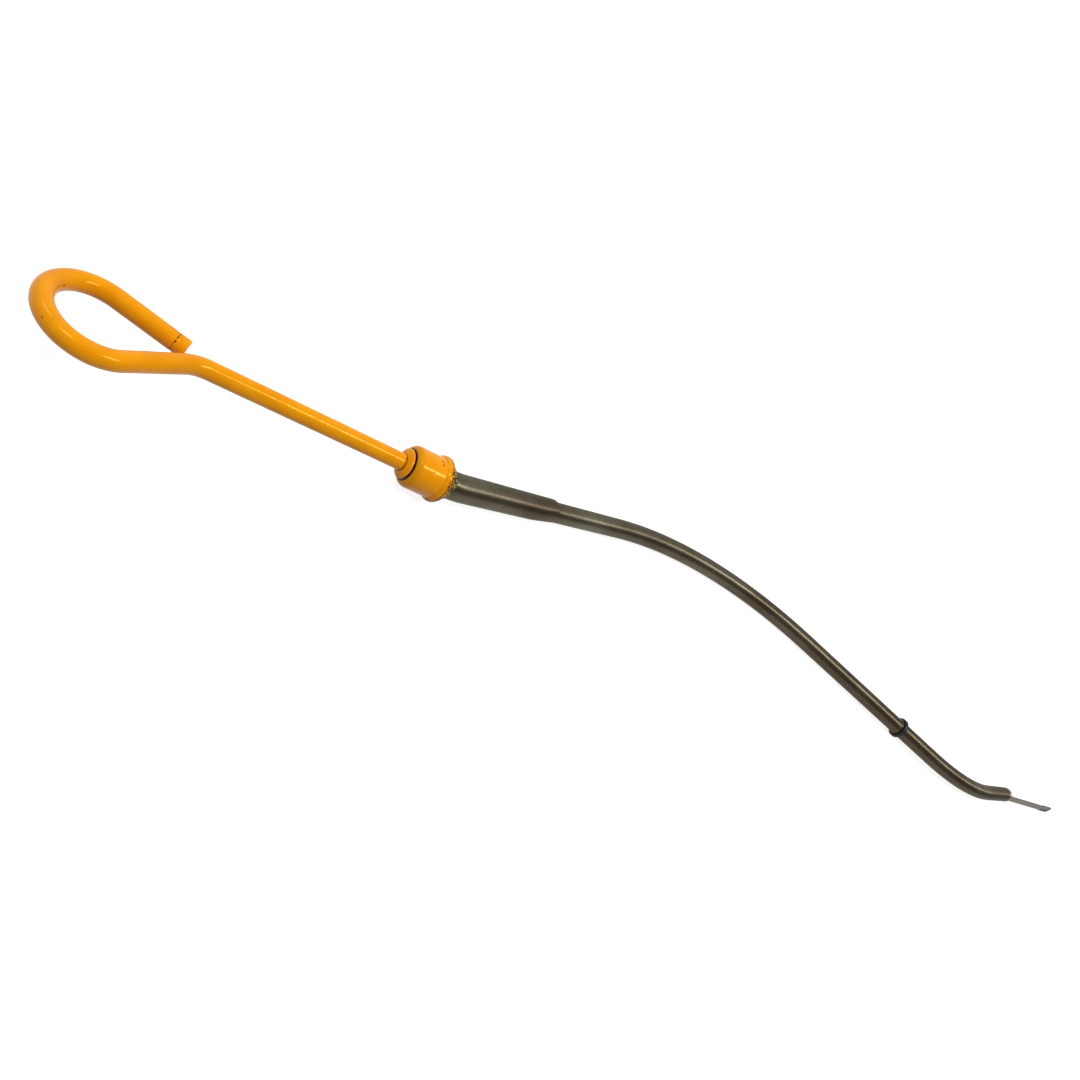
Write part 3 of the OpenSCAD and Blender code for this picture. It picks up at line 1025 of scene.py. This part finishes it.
@dataclass(frozen=True, kw_only=True)
class SpringSteel(Finish):
    """Rolled spring steel strip: bright rolling lines under brown oil stains, dirt in the pressed oval."""

    name: str = "stained_spring_steel"
    steel: str = "6F6457"
    stain: str = "5C5044"
    dirt: str = "2B221B"
    metal: float = 0.85
    rough: float = 0.4
    stain_mm: float = 5.0
    stain_span: Span = (0.85, 1.15)
    # Real rolling lines are finer. They are as coarse as they need to be to show.
    rolling_mm: float = 0.9
    rolling_drawn: float = 0.06
    rolling_share: float = 0.3
    rolling_deep_mm: float = 0.1
    oval_first: Point
    oval_last: Point
    oval_r: float
    oval_edge_mm: Span = (0.8, 0.4)

    def dress(self, tree: bpy.types.NodeTree) -> Links:
        """Mixes bright and stained steel in lines along the strip, and darkens the oval's edge.

        Args:
            tree: The material's tree.

        Returns:
            What goes into the shader's inputs.
        """
        place = add(tree, "ShaderNodeTexCoord").outputs["Object"]
        drawn = add(tree, "ShaderNodeVectorMath", {
            0: place, 1: (self.rolling_drawn, 1.0, 1.0),
        }, operation="MULTIPLY")
        lines = add(tree, "ShaderNodeTexNoise", {
            "Vector": drawn, "Scale": 1 / (self.rolling_mm * MM), "Detail": 3.0,
        })
        cloud = add(tree, "ShaderNodeTexNoise", {
            "Vector": place, "Scale": 1 / (self.stain_mm * MM), "Detail": 5.0,
        })
        both = add(tree, "ShaderNodeMath", {0: lines, 1: cloud}, operation="ADD")
        share = add(tree, "ShaderNodeMapRange", {"Value": both, **span("From", self.stain_span)})
        hue = add(tree, "ShaderNodeMix", {
            SHARE: share, FIRST: colour(self.steel), SECOND: colour(self.stain),
        }, data_type="RGBA").outputs[BLENDED]
        edge = add(tree, "ShaderNodeMapRange", {
            "Value": self.from_outline(tree, place),
            **span("From", tuple(value * MM for value in self.oval_edge_mm)),
        })
        dirty = add(tree, "ShaderNodeMix", {
            SHARE: edge, FIRST: hue, SECOND: colour(self.dirt),
        }, data_type="RGBA").outputs[BLENDED]
        bump = add(tree, "ShaderNodeBump", {
            "Height": lines, "Strength": self.rolling_share, "Distance": self.rolling_deep_mm * MM,
        })
        return {"Base Color": dirty, "Normal": bump, "Metallic": self.metal, "Roughness": self.rough}

    def from_outline(self, tree: bpy.types.NodeTree, place: bpy.types.NodeSocket) -> bpy.types.Node:
        """Measures how far a point is from the oval's outline.

        Args:
            tree: The material's tree.
            place: The point.

        Returns:
            The node that gives the distance in metres.
        """
        rod = [b - a for a, b in zip(self.oval_first, self.oval_last)]
        reach = math.sqrt(sum(value * value for value in rod))
        axis = [value / reach for value in rod]
        arm = add(tree, "ShaderNodeVectorMath", {0: place, 1: self.oval_first}, operation="SUBTRACT")
        along = add(tree, "ShaderNodeVectorMath", {0: arm, 1: axis}, operation="DOT_PRODUCT").outputs["Value"]
        held = add(tree, "ShaderNodeClamp", {"Value": along, "Min": 0.0, "Max": reach})
        foot = add(tree, "ShaderNodeVectorMath", {0: axis, "Scale": held}, operation="SCALE")
        far = add(tree, "ShaderNodeVectorMath", {0: arm, 1: foot}, operation="DISTANCE").outputs["Value"]
        off = add(tree, "ShaderNodeMath", {0: far, 1: self.oval_r * MM}, operation="SUBTRACT")
        return add(tree, "ShaderNodeMath", {0: off}, operation="ABSOLUTE")


@dataclass(frozen=True)
class ZincPlate(Finish):
    """Bright zinc plating on the hidden washer and rivets: pale, with a faint spangle."""

    name: str = "zinc_plate"
    zinc: str = "B9BBBD"
    rough: Span = (0.25, 0.45)
    spangle_mm: float = 1.5

    def dress(self, tree: bpy.types.NodeTree) -> Links:
        """Mottles the plating's gloss a little.

        Args:
            tree: The material's tree.

        Returns:
            What goes into the shader's inputs.
        """
        place = add(tree, "ShaderNodeTexCoord").outputs["Object"]
        cloud = add(tree, "ShaderNodeTexNoise", {"Vector": place, "Scale": 1 / (self.spangle_mm * MM)})
        rough = add(tree, "ShaderNodeMapRange", {"Value": cloud, **span("To", self.rough)})
        return {"Base Color": colour(self.zinc), "Metallic": 1.0, "Roughness": rough}


@dataclass
class Assembly:
    """What every sub-assembly is built from: the sizes, the plan and the frame's own nodes."""

    sizes: Sizes
    plan: Plan
    nodes: dict[str, bpy.types.Object]

    def claim(self, piece: bpy.types.Object, slot: Slot, node: str) -> None:
        """Puts a made piece in the place of its node.

        Args:
            piece: The laid piece.
            slot: The slot that its finish comes from. Not used.
            node: Name of the node that it stands for.
        """
        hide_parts(node)
        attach(piece, BODY)
        LOG.info("%s: %d faces, stands for %s", piece.name, len(piece.data.polygons), node)

    def dress_node(self, node: str, finish: Finish) -> None:
        """Gives a node of the frame its finish, and leaves its mesh alone.

        Args:
            node: The node's name.
            finish: What it is finished with.
        """
        materials = self.nodes[node].data.materials
        materials.clear()
        materials.append(finish.material())
        LOG.info("%s: dressed in %s", node, finish.name)


@dataclass
class Handle(Assembly):
    """The bent rod with its finger loop, and the collar that seats on the cap."""

    groove_slope: float = 0.1
    groove_round: float = 0.05
    bevel_share: float = 0.6
    bevel_run: float = 0.3
    bevel_drop: float = 0.15
    corner: float = 0.2
    rivet_shares: Span = (0.3, 0.72)
    chip_at: float = 247.2
    scuff_at: float = 220.6
    scuff: str = "B0640C"

    def rod_profile(self) -> Profile:
        """Draws half the rod's outline, from its tail to its cut end, with the crack in it.

        Returns:
            The profile's points.
        """
        s = self.sizes
        end = length_of(s.handle_rows)
        c = s.rod_chamfer
        low = s.rod_r - s.crack_deep
        brink = s.rod_r - self.groove_round
        first = s.crack - s.crack_w / 2
        last = s.crack + s.crack_w / 2
        return [
            (0, 0), (0, s.rod_r - c), (c, s.rod_r), (first - self.groove_slope, s.rod_r), (first, brink),
            (first + self.groove_slope, low), (last - self.groove_slope, low), (last, brink),
            (last + self.groove_slope, s.rod_r), (end - c, s.rod_r), (end - c / 3, s.rod_r - c / 3),
            (end, s.rod_r - c), (end, 0),
        ]

    def collar_profile(self) -> Profile:
        """Draws the collar's outline, with the relief under its edge.

        Returns:
            The profile's points.
        """
        s = self.sizes
        low = s.collar_low
        top = low + s.collar_h
        edge = (s.collar_r - s.collar_top_r) * self.bevel_share
        bore = s.rod_r + s.slip
        return [
            (low, bore), (low, s.collar_r - s.relief_w), (low + s.relief_h, s.collar_r - s.relief_w),
            (low + s.relief_h, s.collar_r - self.corner), (low + s.relief_h + self.corner, s.collar_r),
            (top - edge - self.bevel_run, s.collar_r), (top - edge, s.collar_r - self.bevel_drop),
            (top - self.corner, s.collar_top_r + self.bevel_drop), (top, s.collar_top_r - self.corner),
            (top, bore),
        ]

    def tail_cutters(self) -> list[bpy.types.Object]:
        """Makes the blocks that cut the blade's slot and its rivet holes out of the rod's tail.

        Returns:
            The blocks, each longer than the rod is thick.
        """
        s = self.sizes
        slot = bmesh.new()
        bmesh.ops.create_cube(slot, size=1.0)
        size = Vector((2 * s.slot_len, s.blade_t + 2 * s.slip, 4 * s.rod_r)) * MM
        bmesh.ops.scale(slot, vec=size, verts=slot.verts)
        cutters = [linked("slot_cutter", slot)]
        radius = (s.rivet_r + s.slip) * MM
        turn = Matrix.Rotation(math.pi / 2, 4, "X")
        for share in self.rivet_shares:
            hole = bmesh.new()
            place = Matrix.Translation(Vector((s.slot_len * share * MM, 0.0, 0.0)))
            bmesh.ops.create_cone(hole, cap_ends=True, segments=32, radius1=radius, radius2=radius,
                                  depth=4 * s.rod_r * MM, matrix=place @ turn)
            cutters.append(linked("rivet_cutter", hole))
        return cutters

    def build(self, layer: LayAlong) -> None:
        """Makes both pieces and lays them on the handle's route.

        Args:
            layer: What lays a piece along a route.
        """
        s = self.sizes
        route = Route("handle_route", self.plan, self.plan.handle_start, s.handle_rows)
        rod_paint = BrushedEnamel(
            name="brushed_enamel_on_rod",
            # The second ring is dirt and painted shade round the rod where it enters the collar.
            rings=(Ring(s.crack, 0.3, DIRT_AND_PAINTED_SHADE, 0.48), Ring(s.collar_low + s.collar_h, 0.5, DIRT_AND_PAINTED_SHADE, 0.46)),
            chips=(
                Chip((self.chip_at, -0.93 * s.rod_r, 0.37 * s.rod_r), 0.55, DIRT_AND_PAINTED_SHADE),
                Chip((self.scuff_at, 0.93 * s.rod_r, 0.37 * s.rod_r), 0.5, self.scuff),
            ),
        )
        rod = turned("bent_rod", divided(self.rod_profile(), pitch=1.2))
        sway(rod, s.crack, reach=2.0, depth=0.45, per_metre=400.0)
        cut(rod, self.tail_cutters())
        layer.lay(rod, route, rod_paint, skin=0.12, wave=9.0)
        self.claim(rod, Slot.PAINT, "handle_rod")
        collar_paint = BrushedEnamel(
            name="brushed_enamel_on_collar",
            # Dirt and painted shade in the relief under the collar's edge.
            rings=(Ring(s.collar_low + s.relief_h / 2, 0.45, DIRT_AND_PAINTED_SHADE, 0.3),),
        )
        collar = turned("rod_collar", divided(self.collar_profile(), pitch=0.4), around=96)
        layer.lay(collar, route, collar_paint, skin=0.15, wave=5.0)
        self.claim(collar, Slot.PAINT, "handle_collar")
        route.discard()


@dataclass
class Cap(Assembly):
    """The pressed cap with its beaded rim, and the rubber bush that grips the tube."""

    fillet_r: float = 1.0
    mouth_r: float = 0.3
    ragged_reach: float = 1.3
    ragged_depth: float = 0.5
    ragged_per_m: float = 700.0
    flake_t: float = 0.12
    flake_corners: tuple[float, ...] = (0.5, 0.34, 0.52, 0.3, 0.46, 0.38, 0.5)
    flake_mm: Span = (0.5, 1.5)
    flakes_per_mm2: float = 1.5
    flakes_clear: Span = (0.3, 0.2)
    flakes_stand: float = 0.1
    seed: int = 7
    # A darker tone for the cap's shoulder.
    shoulder_tone_darker: str = "E09209"
    mouth_dirt: str = "1D140B"
    # Painted shadow for the underside of the rim bead.
    painted_rim_shadow: str = "1C0E04"
    blotch: str = "9A560C"
    blotch_core: str = "8A4A0A"

    def shell_profile(self) -> Profile:
        """Draws the cap's wall: bore, mouth, bead, side, shoulder, top and ceiling.

        Returns:
            The profile's points.
        """
        s = self.sizes
        low = s.rod_tail
        mouth = self.mouth_r
        bore = s.cap_r - s.cap_wall
        hub = s.rod_r + s.slip
        bead_x = low + s.rim_bead_r
        crest = s.rim_r - s.rim_bead_r
        leave = math.degrees(math.asin((s.cap_r - crest) / s.rim_bead_r))
        over = s.cap_r + self.fillet_r - crest
        back = math.sqrt((s.rim_bead_r + self.fillet_r) ** 2 - over ** 2)
        meet = math.degrees(math.atan2(over, back))
        inner = s.shoulder_r - s.cap_wall
        return [
            (low, bore), *arc(low + mouth, s.cap_r - mouth, mouth, 180.0, 90.0, 4),
            *arc(bead_x, crest, s.rim_bead_r, 180.0 - leave, meet, 24),
            *arc(bead_x + back, s.cap_r + self.fillet_r, self.fillet_r, 180.0 + meet, 270.0, 6)[1:],
            *arc(low + s.cap_h - s.shoulder_r, s.cap_r - s.shoulder_r, s.shoulder_r, 90.0, 0.0, 14),
            (low + s.cap_h, hub), (low + s.ceiling, hub),
            *arc(low + s.ceiling - inner, bore - inner, inner, 0.0, 90.0, 8),
        ]

    def bush_profile(self) -> Profile:
        """Draws the bush's section, with the lip that shows below the mouth.

        Returns:
            The profile's points.
        """
        s = self.sizes
        low = s.rod_tail
        under = s.ceiling - s.washer_t
        bore = s.cap_r - s.cap_wall - s.slip
        inner = s.shoulder_r - s.cap_wall
        corner = inner - s.washer_t
        bevel = inner - math.sqrt(inner ** 2 - corner ** 2) + s.slip
        grip = s.upper_r + s.slip
        hub = s.rod_r + s.slip
        return [
            (low + s.socket, hub), (low + under, hub), (low + under, bore - bevel),
            (low + under - corner - bevel, bore), (low, bore), (low - s.lip_len, grip + s.lip_edge),
            (low - s.lip_len, grip), (low + s.socket, grip),
        ]

    def fray_mouth(self, shell: bpy.types.Object) -> None:
        """Gives the paint round the mouth a ragged edge.

        Args:
            shell: The straight cap shell.
        """
        for vertex in shell.data.vertices:
            near = 1.0 - (vertex.co.x / MM - self.sizes.rod_tail) / self.ragged_reach
            if near > 0.0:
                spot = Vector((0.0, vertex.co.y, vertex.co.z)) * self.ragged_per_m
                vertex.co.x += self.ragged_depth * MM * near * wander.noise(spot)

    def flake(self) -> bpy.types.Object:
        """Makes one thin flake with a broken outline.

        Returns:
            The flake, 1 m across.
        """
        shape = bmesh.new()
        count = len(self.flake_corners)
        angles = [2 * math.pi * k / count for k in range(count)]
        outline = [(r * math.cos(a), r * math.sin(a)) for r, a in zip(self.flake_corners, angles)]
        under, over = ([shape.verts.new((x, y, z)) for x, y in outline] for z in (0.0, self.flake_t))
        shape.faces.new(under)
        shape.faces.new(over)
        for n in range(count):
            m = (n + 1) % count
            shape.faces.new((under[n], under[m], over[m], over[n]))
        bmesh.ops.recalc_face_normals(shape, faces=shape.faces)
        return linked("flake", shape)

    def scatter_flakes(self, layer: LayAlong, route: Route) -> None:
        """Lays stray flakes of paint on the bush's lip.

        Args:
            layer: What lays a piece along a route.
            route: The cap's route.
        """
        s = self.sizes
        low = s.rod_tail
        grip = s.upper_r + s.slip + s.lip_edge
        bore = s.cap_r - s.cap_wall - s.slip
        first = (low - s.lip_len + self.flakes_clear[0], grip + self.flakes_stand)
        flakes = open_band("stray_flakes", first, (low - self.flakes_clear[1], bore), around=72)
        layer.lay(flakes, route, StrayEnamel())
        flake = self.flake()
        ScatterFlakes().run(flakes, {
            "Flake": flake, "Per square metre": self.flakes_per_mm2 / MM ** 2,
            "Smallest": self.flake_mm[0] * MM, "Largest": self.flake_mm[1] * MM,
            "Seed": self.seed, "Finish": StrayEnamel().material(),
        })
        bpy.data.objects.remove(flake)
        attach(flakes, BODY)
        LOG.info("%s: %d faces", flakes.name, len(flakes.data.polygons))

    def build(self, layer: LayAlong) -> None:
        """Makes the shell, the bush and the stray flakes on its lip, and dresses the washer.

        Args:
            layer: What lays a piece along a route.
        """
        s = self.sizes
        low = s.rod_tail
        top = low + s.cap_h
        route = Route("cap_route", self.plan, self.plan.handle_start, s.handle_rows)
        paint = BrushedEnamel(
            name="brushed_enamel_on_cap",
            rings=(
                # A darker tone over the shoulder, and painted shadow where the collar sits on the cap's top.
                Ring(top - 1.0, 2.2, self.shoulder_tone_darker, 0.2), Ring(top, 0.3, DIRT_AND_PAINTED_SHADE, 0.3),
                Ring(low + 1.3, 2.1, self.mouth_dirt, 0.47),
            ),
            chips=(
                Chip((low + 8.9, 0.2, s.cap_r), 0.7, self.blotch),
                Chip((low + 8.5, 2.6, s.cap_r - 0.3), 0.6, self.blotch_core),
                Chip((low + 8.2, 1.4, s.cap_r), 0.4, DIRT_AND_PAINTED_SHADE),
                # Two patches of painted shadow on the underside of the rim bead.
                Chip((low + 0.8, 8.8, -9.0), 3.0, self.painted_rim_shadow),
                Chip((low + 3.0, 9.1, -9.3), 3.0, self.painted_rim_shadow),
            ),
        )
        shell = turned("pressed_cap", divided(self.shell_profile(), pitch=0.8), around=128)
        self.fray_mouth(shell)
        layer.lay(shell, route, paint, skin=0.25, wave=7.0)
        self.claim(shell, Slot.PAINT, "cap_shell")
        bush = turned("seal_bush", divided(self.bush_profile(), pitch=0.8), around=96)
        layer.lay(bush, route, AgedRubber(), skin=0.3, wave=2.5)
        self.claim(bush, Slot.RUBBER, "cap_seal")
        self.scatter_flakes(layer, route)
        route.discard()
        self.dress_node("cap_washer", ZincPlate())


@dataclass
class GuideTube(Assembly):
    """The stepped guide tube with its bead and seal ring."""

    # Lighter steel: a band just below the seal ring, and painted highlight towards the toe's cut end.
    pale_band_and_sheen: str = "A39C8A"
    seam: str = "2A241B"
    pit: str = "1A1510"
    pit_at: float = 72.4
    end_chamfer: float = 0.12

    def upper_profile(self) -> Profile:
        """Draws the upper tube's wall, from its end in the cap to its rolled end.

        Returns:
            The profile's points.
        """
        s = self.sizes
        crook_end = length_of(s.guide_rows[:1])
        end = s.upper_end
        bore = s.lower_r + s.slip
        roll = arc(end - s.neck_in_r, s.upper_end_r - s.neck_in_r, s.neck_in_r, 90.0, 30.0, 6)
        return [(0, bore), (0, s.upper_r), (crook_end, s.upper_r), *roll, (end, bore)]

    def hammer_neck(self, tube: bpy.types.Object) -> None:
        """Brings the tube's end inside a cone that is off centre, where the real one was hammered down.

        Args:
            tube: The straight upper tube.
        """
        s = self.sizes
        share = math.sqrt(0.5) * s.crimp_off
        wide = s.upper_end_r + s.crimp_off + s.slip
        tight = s.lower_r + s.slip + s.crimp_edge + s.crimp_off
        for vertex in tube.data.vertices:
            step = 1.0 - (s.upper_end - vertex.co.x / MM) / s.crimp_len
            out = Vector((0.0, vertex.co.y / MM - share, vertex.co.z / MM - share))
            limit = wide + (tight - wide) * step
            if step > 0.0 and out.length > limit:
                out *= limit / out.length
                vertex.co.y = (out.y + share) * MM
                vertex.co.z = (out.z + share) * MM

    def lower_profile(self) -> Profile:
        """Draws the lower tube's wall, with the flare and bead above the seal ring.

        Returns:
            The profile's points.
        """
        s = self.sizes
        start = s.upper_end - s.lap_len
        end = length_of(s.guide_rows)
        bore = s.lower_r - s.lower_wall
        crest = s.bead_crest_r - s.bead_r
        bead_x = s.ring_mid - s.ring_len / 2 - s.bead_r
        flare_y = s.lower_r + s.flare_r
        back = math.sqrt((s.bead_r + s.flare_r) ** 2 - (flare_y - crest) ** 2)
        meet = math.degrees(math.atan2(crest - flare_y, back))
        flare = arc(bead_x - back, flare_y, s.flare_r, -90.0, meet, 8)
        fall = math.degrees(math.asin((s.lower_r - crest) / s.bead_r))
        bead = arc(bead_x, crest, s.bead_r, 180.0 + meet, fall, 16)
        lip = self.end_chamfer
        return [
            (start, bore), (start, s.lower_r), *flare, *bead[1:],
            (end - lip, s.lower_r), (end, s.lower_r - lip), (end, bore + lip), (end - lip, bore),
        ]

    def ring_profile(self) -> Profile:
        """Draws the seal ring's section.

        Returns:
            The profile's points.
        """
        s = self.sizes
        bore = s.lower_r + s.slip
        half = s.ring_len / 2
        flat = half - s.ring_edge_r
        top = s.ring_r - s.ring_edge_r
        return [
            (s.ring_mid - half, bore), *arc(s.ring_mid - flat, top, s.ring_edge_r, 180.0, 90.0, 6),
            *arc(s.ring_mid + flat, top, s.ring_edge_r, 90.0, 0.0, 6), (s.ring_mid + half, bore),
        ]

    def build(self, layer: LayAlong) -> None:
        """Makes the three pieces and lays them on the guide's route.

        Args:
            layer: What lays a piece along a route.
        """
        s = self.sizes
        route = Route("guide_route", self.plan, self.plan.guide_start, s.guide_rows)
        steel = OiledSteel(
            rings=(
                # A lighter band just below the seal ring, and a painted highlight towards the toe's cut end.
                Ring(s.ring_mid + s.ring_len / 2 + 0.8, 0.7, self.pale_band_and_sheen, 0.4),
                Ring(length_of(s.guide_rows) - 2.2, 2.6, self.pale_band_and_sheen, 0.3),
                Ring(s.upper_end, 0.35, self.seam, 0.4),
            ),
            chips=(Chip((self.pit_at, -0.47 * s.upper_r, 0.88 * s.upper_r), 0.5, self.pit),),
        )
        upper = turned("upper_guide", divided(self.upper_profile(), pitch=1.5), around=80)
        self.hammer_neck(upper)
        layer.lay(upper, route, steel, skin=0.06)
        self.claim(upper, Slot.TUBE, "upper_tube")
        lower = turned("lower_guide", divided(self.lower_profile(), pitch=2.5))
        layer.lay(lower, route, steel, skin=0.06)
        self.claim(lower, Slot.TUBE, "lower_tube")
        ring = turned("block_seal_ring", divided(self.ring_profile(), pitch=0.5), around=80)
        layer.lay(ring, route, AgedRubber(), skin=0.2, wave=3.0)
        self.claim(ring, Slot.RUBBER, "seal_ring")
        route.discard()


@dataclass
class Gauge(Assembly):
    """The gauge blade and the rivets that hold it in the rod."""

    tip_w: float = 7.6
    tip_reach: float = 0.5
    paddle_len: float = 22.0
    oval_w: float = 4.0
    tip_heading: float = 2.8

    def build(self) -> None:
        """Dresses both nodes, with the blade's oval found from its tip."""
        points = [vertex.co for vertex in self.nodes["gauge_blade"].data.vertices]
        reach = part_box("gauge_blade")[1].x
        ends = [point for point in points if reach - point.x < self.tip_reach * MM]
        tip = sum(ends, Vector()) / len(ends)
        turn = math.radians(self.tip_heading)
        ahead = self.plan.turn @ Vector((math.cos(turn), math.sin(turn), 0.0))
        edge = (self.tip_w - self.oval_w) / 2
        last = tip - ahead * (edge + self.oval_w / 2) * MM
        first = tip - ahead * (self.paddle_len - edge - self.oval_w / 2) * MM
        strip = SpringSteel(oval_first=tuple(first), oval_last=tuple(last), oval_r=self.oval_w / 2)
        self.dress_node("gauge_blade", strip)
        self.dress_node("blade_rivets", ZincPlate())


@dataclass(frozen=True)
class Lamp:
    """A soft rectangular lamp, with its place, size in metres and the way its long side runs."""

    name: str
    place: Point
    size: Span
    radiance: float
    along: Point = (1.0, 0.0, 0.0)


@dataclass
class Studio:
    """Pale floor, soft lamps, dim room and the camera."""

    plan: Plan
    eye: Point = (-277.4, -354.4, 254.3)
    right: Point = (0.7038, -0.2109, 0.6784)
    down: Point = (0.3252, -0.7533, -0.5716)
    focal_px: float = 967.0
    sensor_mm: float = 36.0
    clip_start: float = 0.01
    floor_half: float = 30.0
    floor_hue: str = "A0A0A0"
    floor_glow: float = 0.86
    ambient: Span = (0.75, 0.25)
    ambient_span: Span = (-0.8, 0.8)
    mirror: Span = (0.66, 0.27)
    mirror_span: Span = (0.15, 0.75)
    dark_side: Point = (0.45, -0.88, 0.15)
    lights: tuple[Lamp, ...] = (
        Lamp("key", (1.18, -1.07, 2.44), (1.20, 0.40), 26.0, (0.95, -0.10, -0.20)),
        Lamp("second", (-1.33, -0.36, 2.33), (0.60, 0.50), 18.0),
        Lamp("third", (-1.64, 1.13, 1.93), (0.65, 0.60), 5.0),
    )

    def camera(self) -> None:
        """Sets the camera at the photograph's place, solved in the plan."""
        data = bpy.data.cameras.new("camera")
        data.sensor_width = self.sensor_mm
        data.lens = self.focal_px / IMAGE_PX * self.sensor_mm
        data.clip_start = self.clip_start
        camera = bpy.data.objects.new("camera", data)
        right = (self.plan.turn @ Vector(self.right)).normalized()
        down = (self.plan.turn @ Vector(self.down)).normalized()
        back = down.cross(right).normalized()
        turn = Matrix((right, -down, back)).transposed()
        camera.matrix_world = Matrix.Translation(self.plan.place(*self.eye)) @ turn.to_4x4()
        bpy.context.collection.objects.link(camera)
        bpy.context.scene.camera = camera

    def mirrored(self, tree: bpy.types.NodeTree) -> bpy.types.Node:
        """Tells rays that come by way of gloss or glass from others.

        Args:
            tree: The tree of the floor's material or of the world.

        Returns:
            The node that gives 1 for such rays and 0 for others.
        """
        ray = add(tree, "ShaderNodeLightPath").outputs
        both = {0: ray["Is Glossy Ray"], 1: ray["Is Transmission Ray"]}
        return add(tree, "ShaderNodeMath", both, operation="MAXIMUM")

    def floor(self) -> None:
        """Lays the floor: seen as white, with the shadow kept, but throwing back only a little light."""
        shape = bmesh.new()
        bmesh.ops.create_grid(shape, x_segments=1, y_segments=1, size=self.floor_half)
        floor = linked("floor", shape)
        made = bpy.data.materials.new("pale_floor")
        made.use_nodes = True
        tree = made.node_tree
        tree.nodes.clear()
        matt = add(tree, "ShaderNodeBsdfDiffuse", {"Color": colour(self.floor_hue)})
        glow = add(tree, "ShaderNodeEmission", {"Color": WHITE, "Strength": self.floor_glow})
        both = add(tree, "ShaderNodeAddShader", {0: matt, 1: glow})
        share = add(tree, "ShaderNodeMath", {0: self.mirrored(tree), 1: self.mirror[0]}, operation="MULTIPLY")
        direct = add(tree, "ShaderNodeLightPath").outputs["Is Camera Ray"]
        seen = add(tree, "ShaderNodeMath", {0: direct, 1: share}, operation="MAXIMUM")
        pick = add(tree, "ShaderNodeMixShader", {0: seen, 1: matt, 2: both})
        add(tree, "ShaderNodeOutputMaterial", {"Surface": pick})
        floor.data.materials.append(made)

    def lamps(self) -> None:
        """Hangs the soft lamps that the highlights call for."""
        for lamp in self.lights:
            data = bpy.data.lights.new(lamp.name, "AREA")
            data.shape = "RECTANGLE"
            data.size, data.size_y = lamp.size
            data.energy = lamp.radiance * math.pi * lamp.size[0] * lamp.size[1]
            thing = bpy.data.objects.new(lamp.name, data)
            thing.location = lamp.place
            back = thing.location.normalized()
            across = back.cross(Vector(lamp.along)).normalized()
            thing.rotation_euler = Matrix((across.cross(back), across, back)).transposed().to_euler()
            bpy.context.collection.objects.link(thing)

    def room(self) -> None:
        """Sets the room: white to look at, and dimmer on the side away from the backdrop."""
        world = bpy.data.worlds.new("studio_room")
        world.use_nodes = True
        tree = world.node_tree
        tree.nodes.clear()
        way = add(tree, "ShaderNodeTexCoord").outputs["Generated"]
        dark = Vector(self.dark_side).normalized()
        turn = add(tree, "ShaderNodeVectorMath", {0: way, 1: dark}, operation="DOT_PRODUCT").outputs["Value"]
        dim = add(tree, "ShaderNodeMapRange", {
            "Value": turn, **span("From", self.mirror_span), **span("To", self.mirror),
        })
        soft = add(tree, "ShaderNodeMapRange", {
            "Value": turn, **span("From", self.ambient_span), **span("To", self.ambient),
        })
        gloss = add(tree, "ShaderNodeMix", {0: self.mirrored(tree), 2: soft, 3: dim})
        direct = add(tree, "ShaderNodeLightPath").outputs["Is Camera Ray"]
        level = add(tree, "ShaderNodeMix", {0: direct, 2: gloss, 3: 1.0})
        sky = add(tree, "ShaderNodeBackground", {"Color": WHITE, "Strength": level})
        add(tree, "ShaderNodeOutputWorld", {0: sky})
        bpy.context.scene.world = world

    def build(self) -> None:
        """Sets up the whole stage."""
        self.camera()
        self.floor()
        self.lamps()
        self.room()
        bpy.context.scene.view_settings.view_transform = "Standard"


def main() -> None:
    """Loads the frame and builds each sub-assembly in order."""
    logging.basicConfig(level=logging.INFO, format="%(message)s")
    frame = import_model()
    sizes = Sizes()
    plan = Plan(sizes)
    layer = LayAlong()
    Studio(plan).build()
    Handle(sizes, plan, frame["nodes"]).build(layer)
    Cap(sizes, plan, frame["nodes"]).build(layer)
    GuideTube(sizes, plan, frame["nodes"]).build(layer)
    Gauge(sizes, plan, frame["nodes"]).build()


if __name__ == "__main__":
    main()
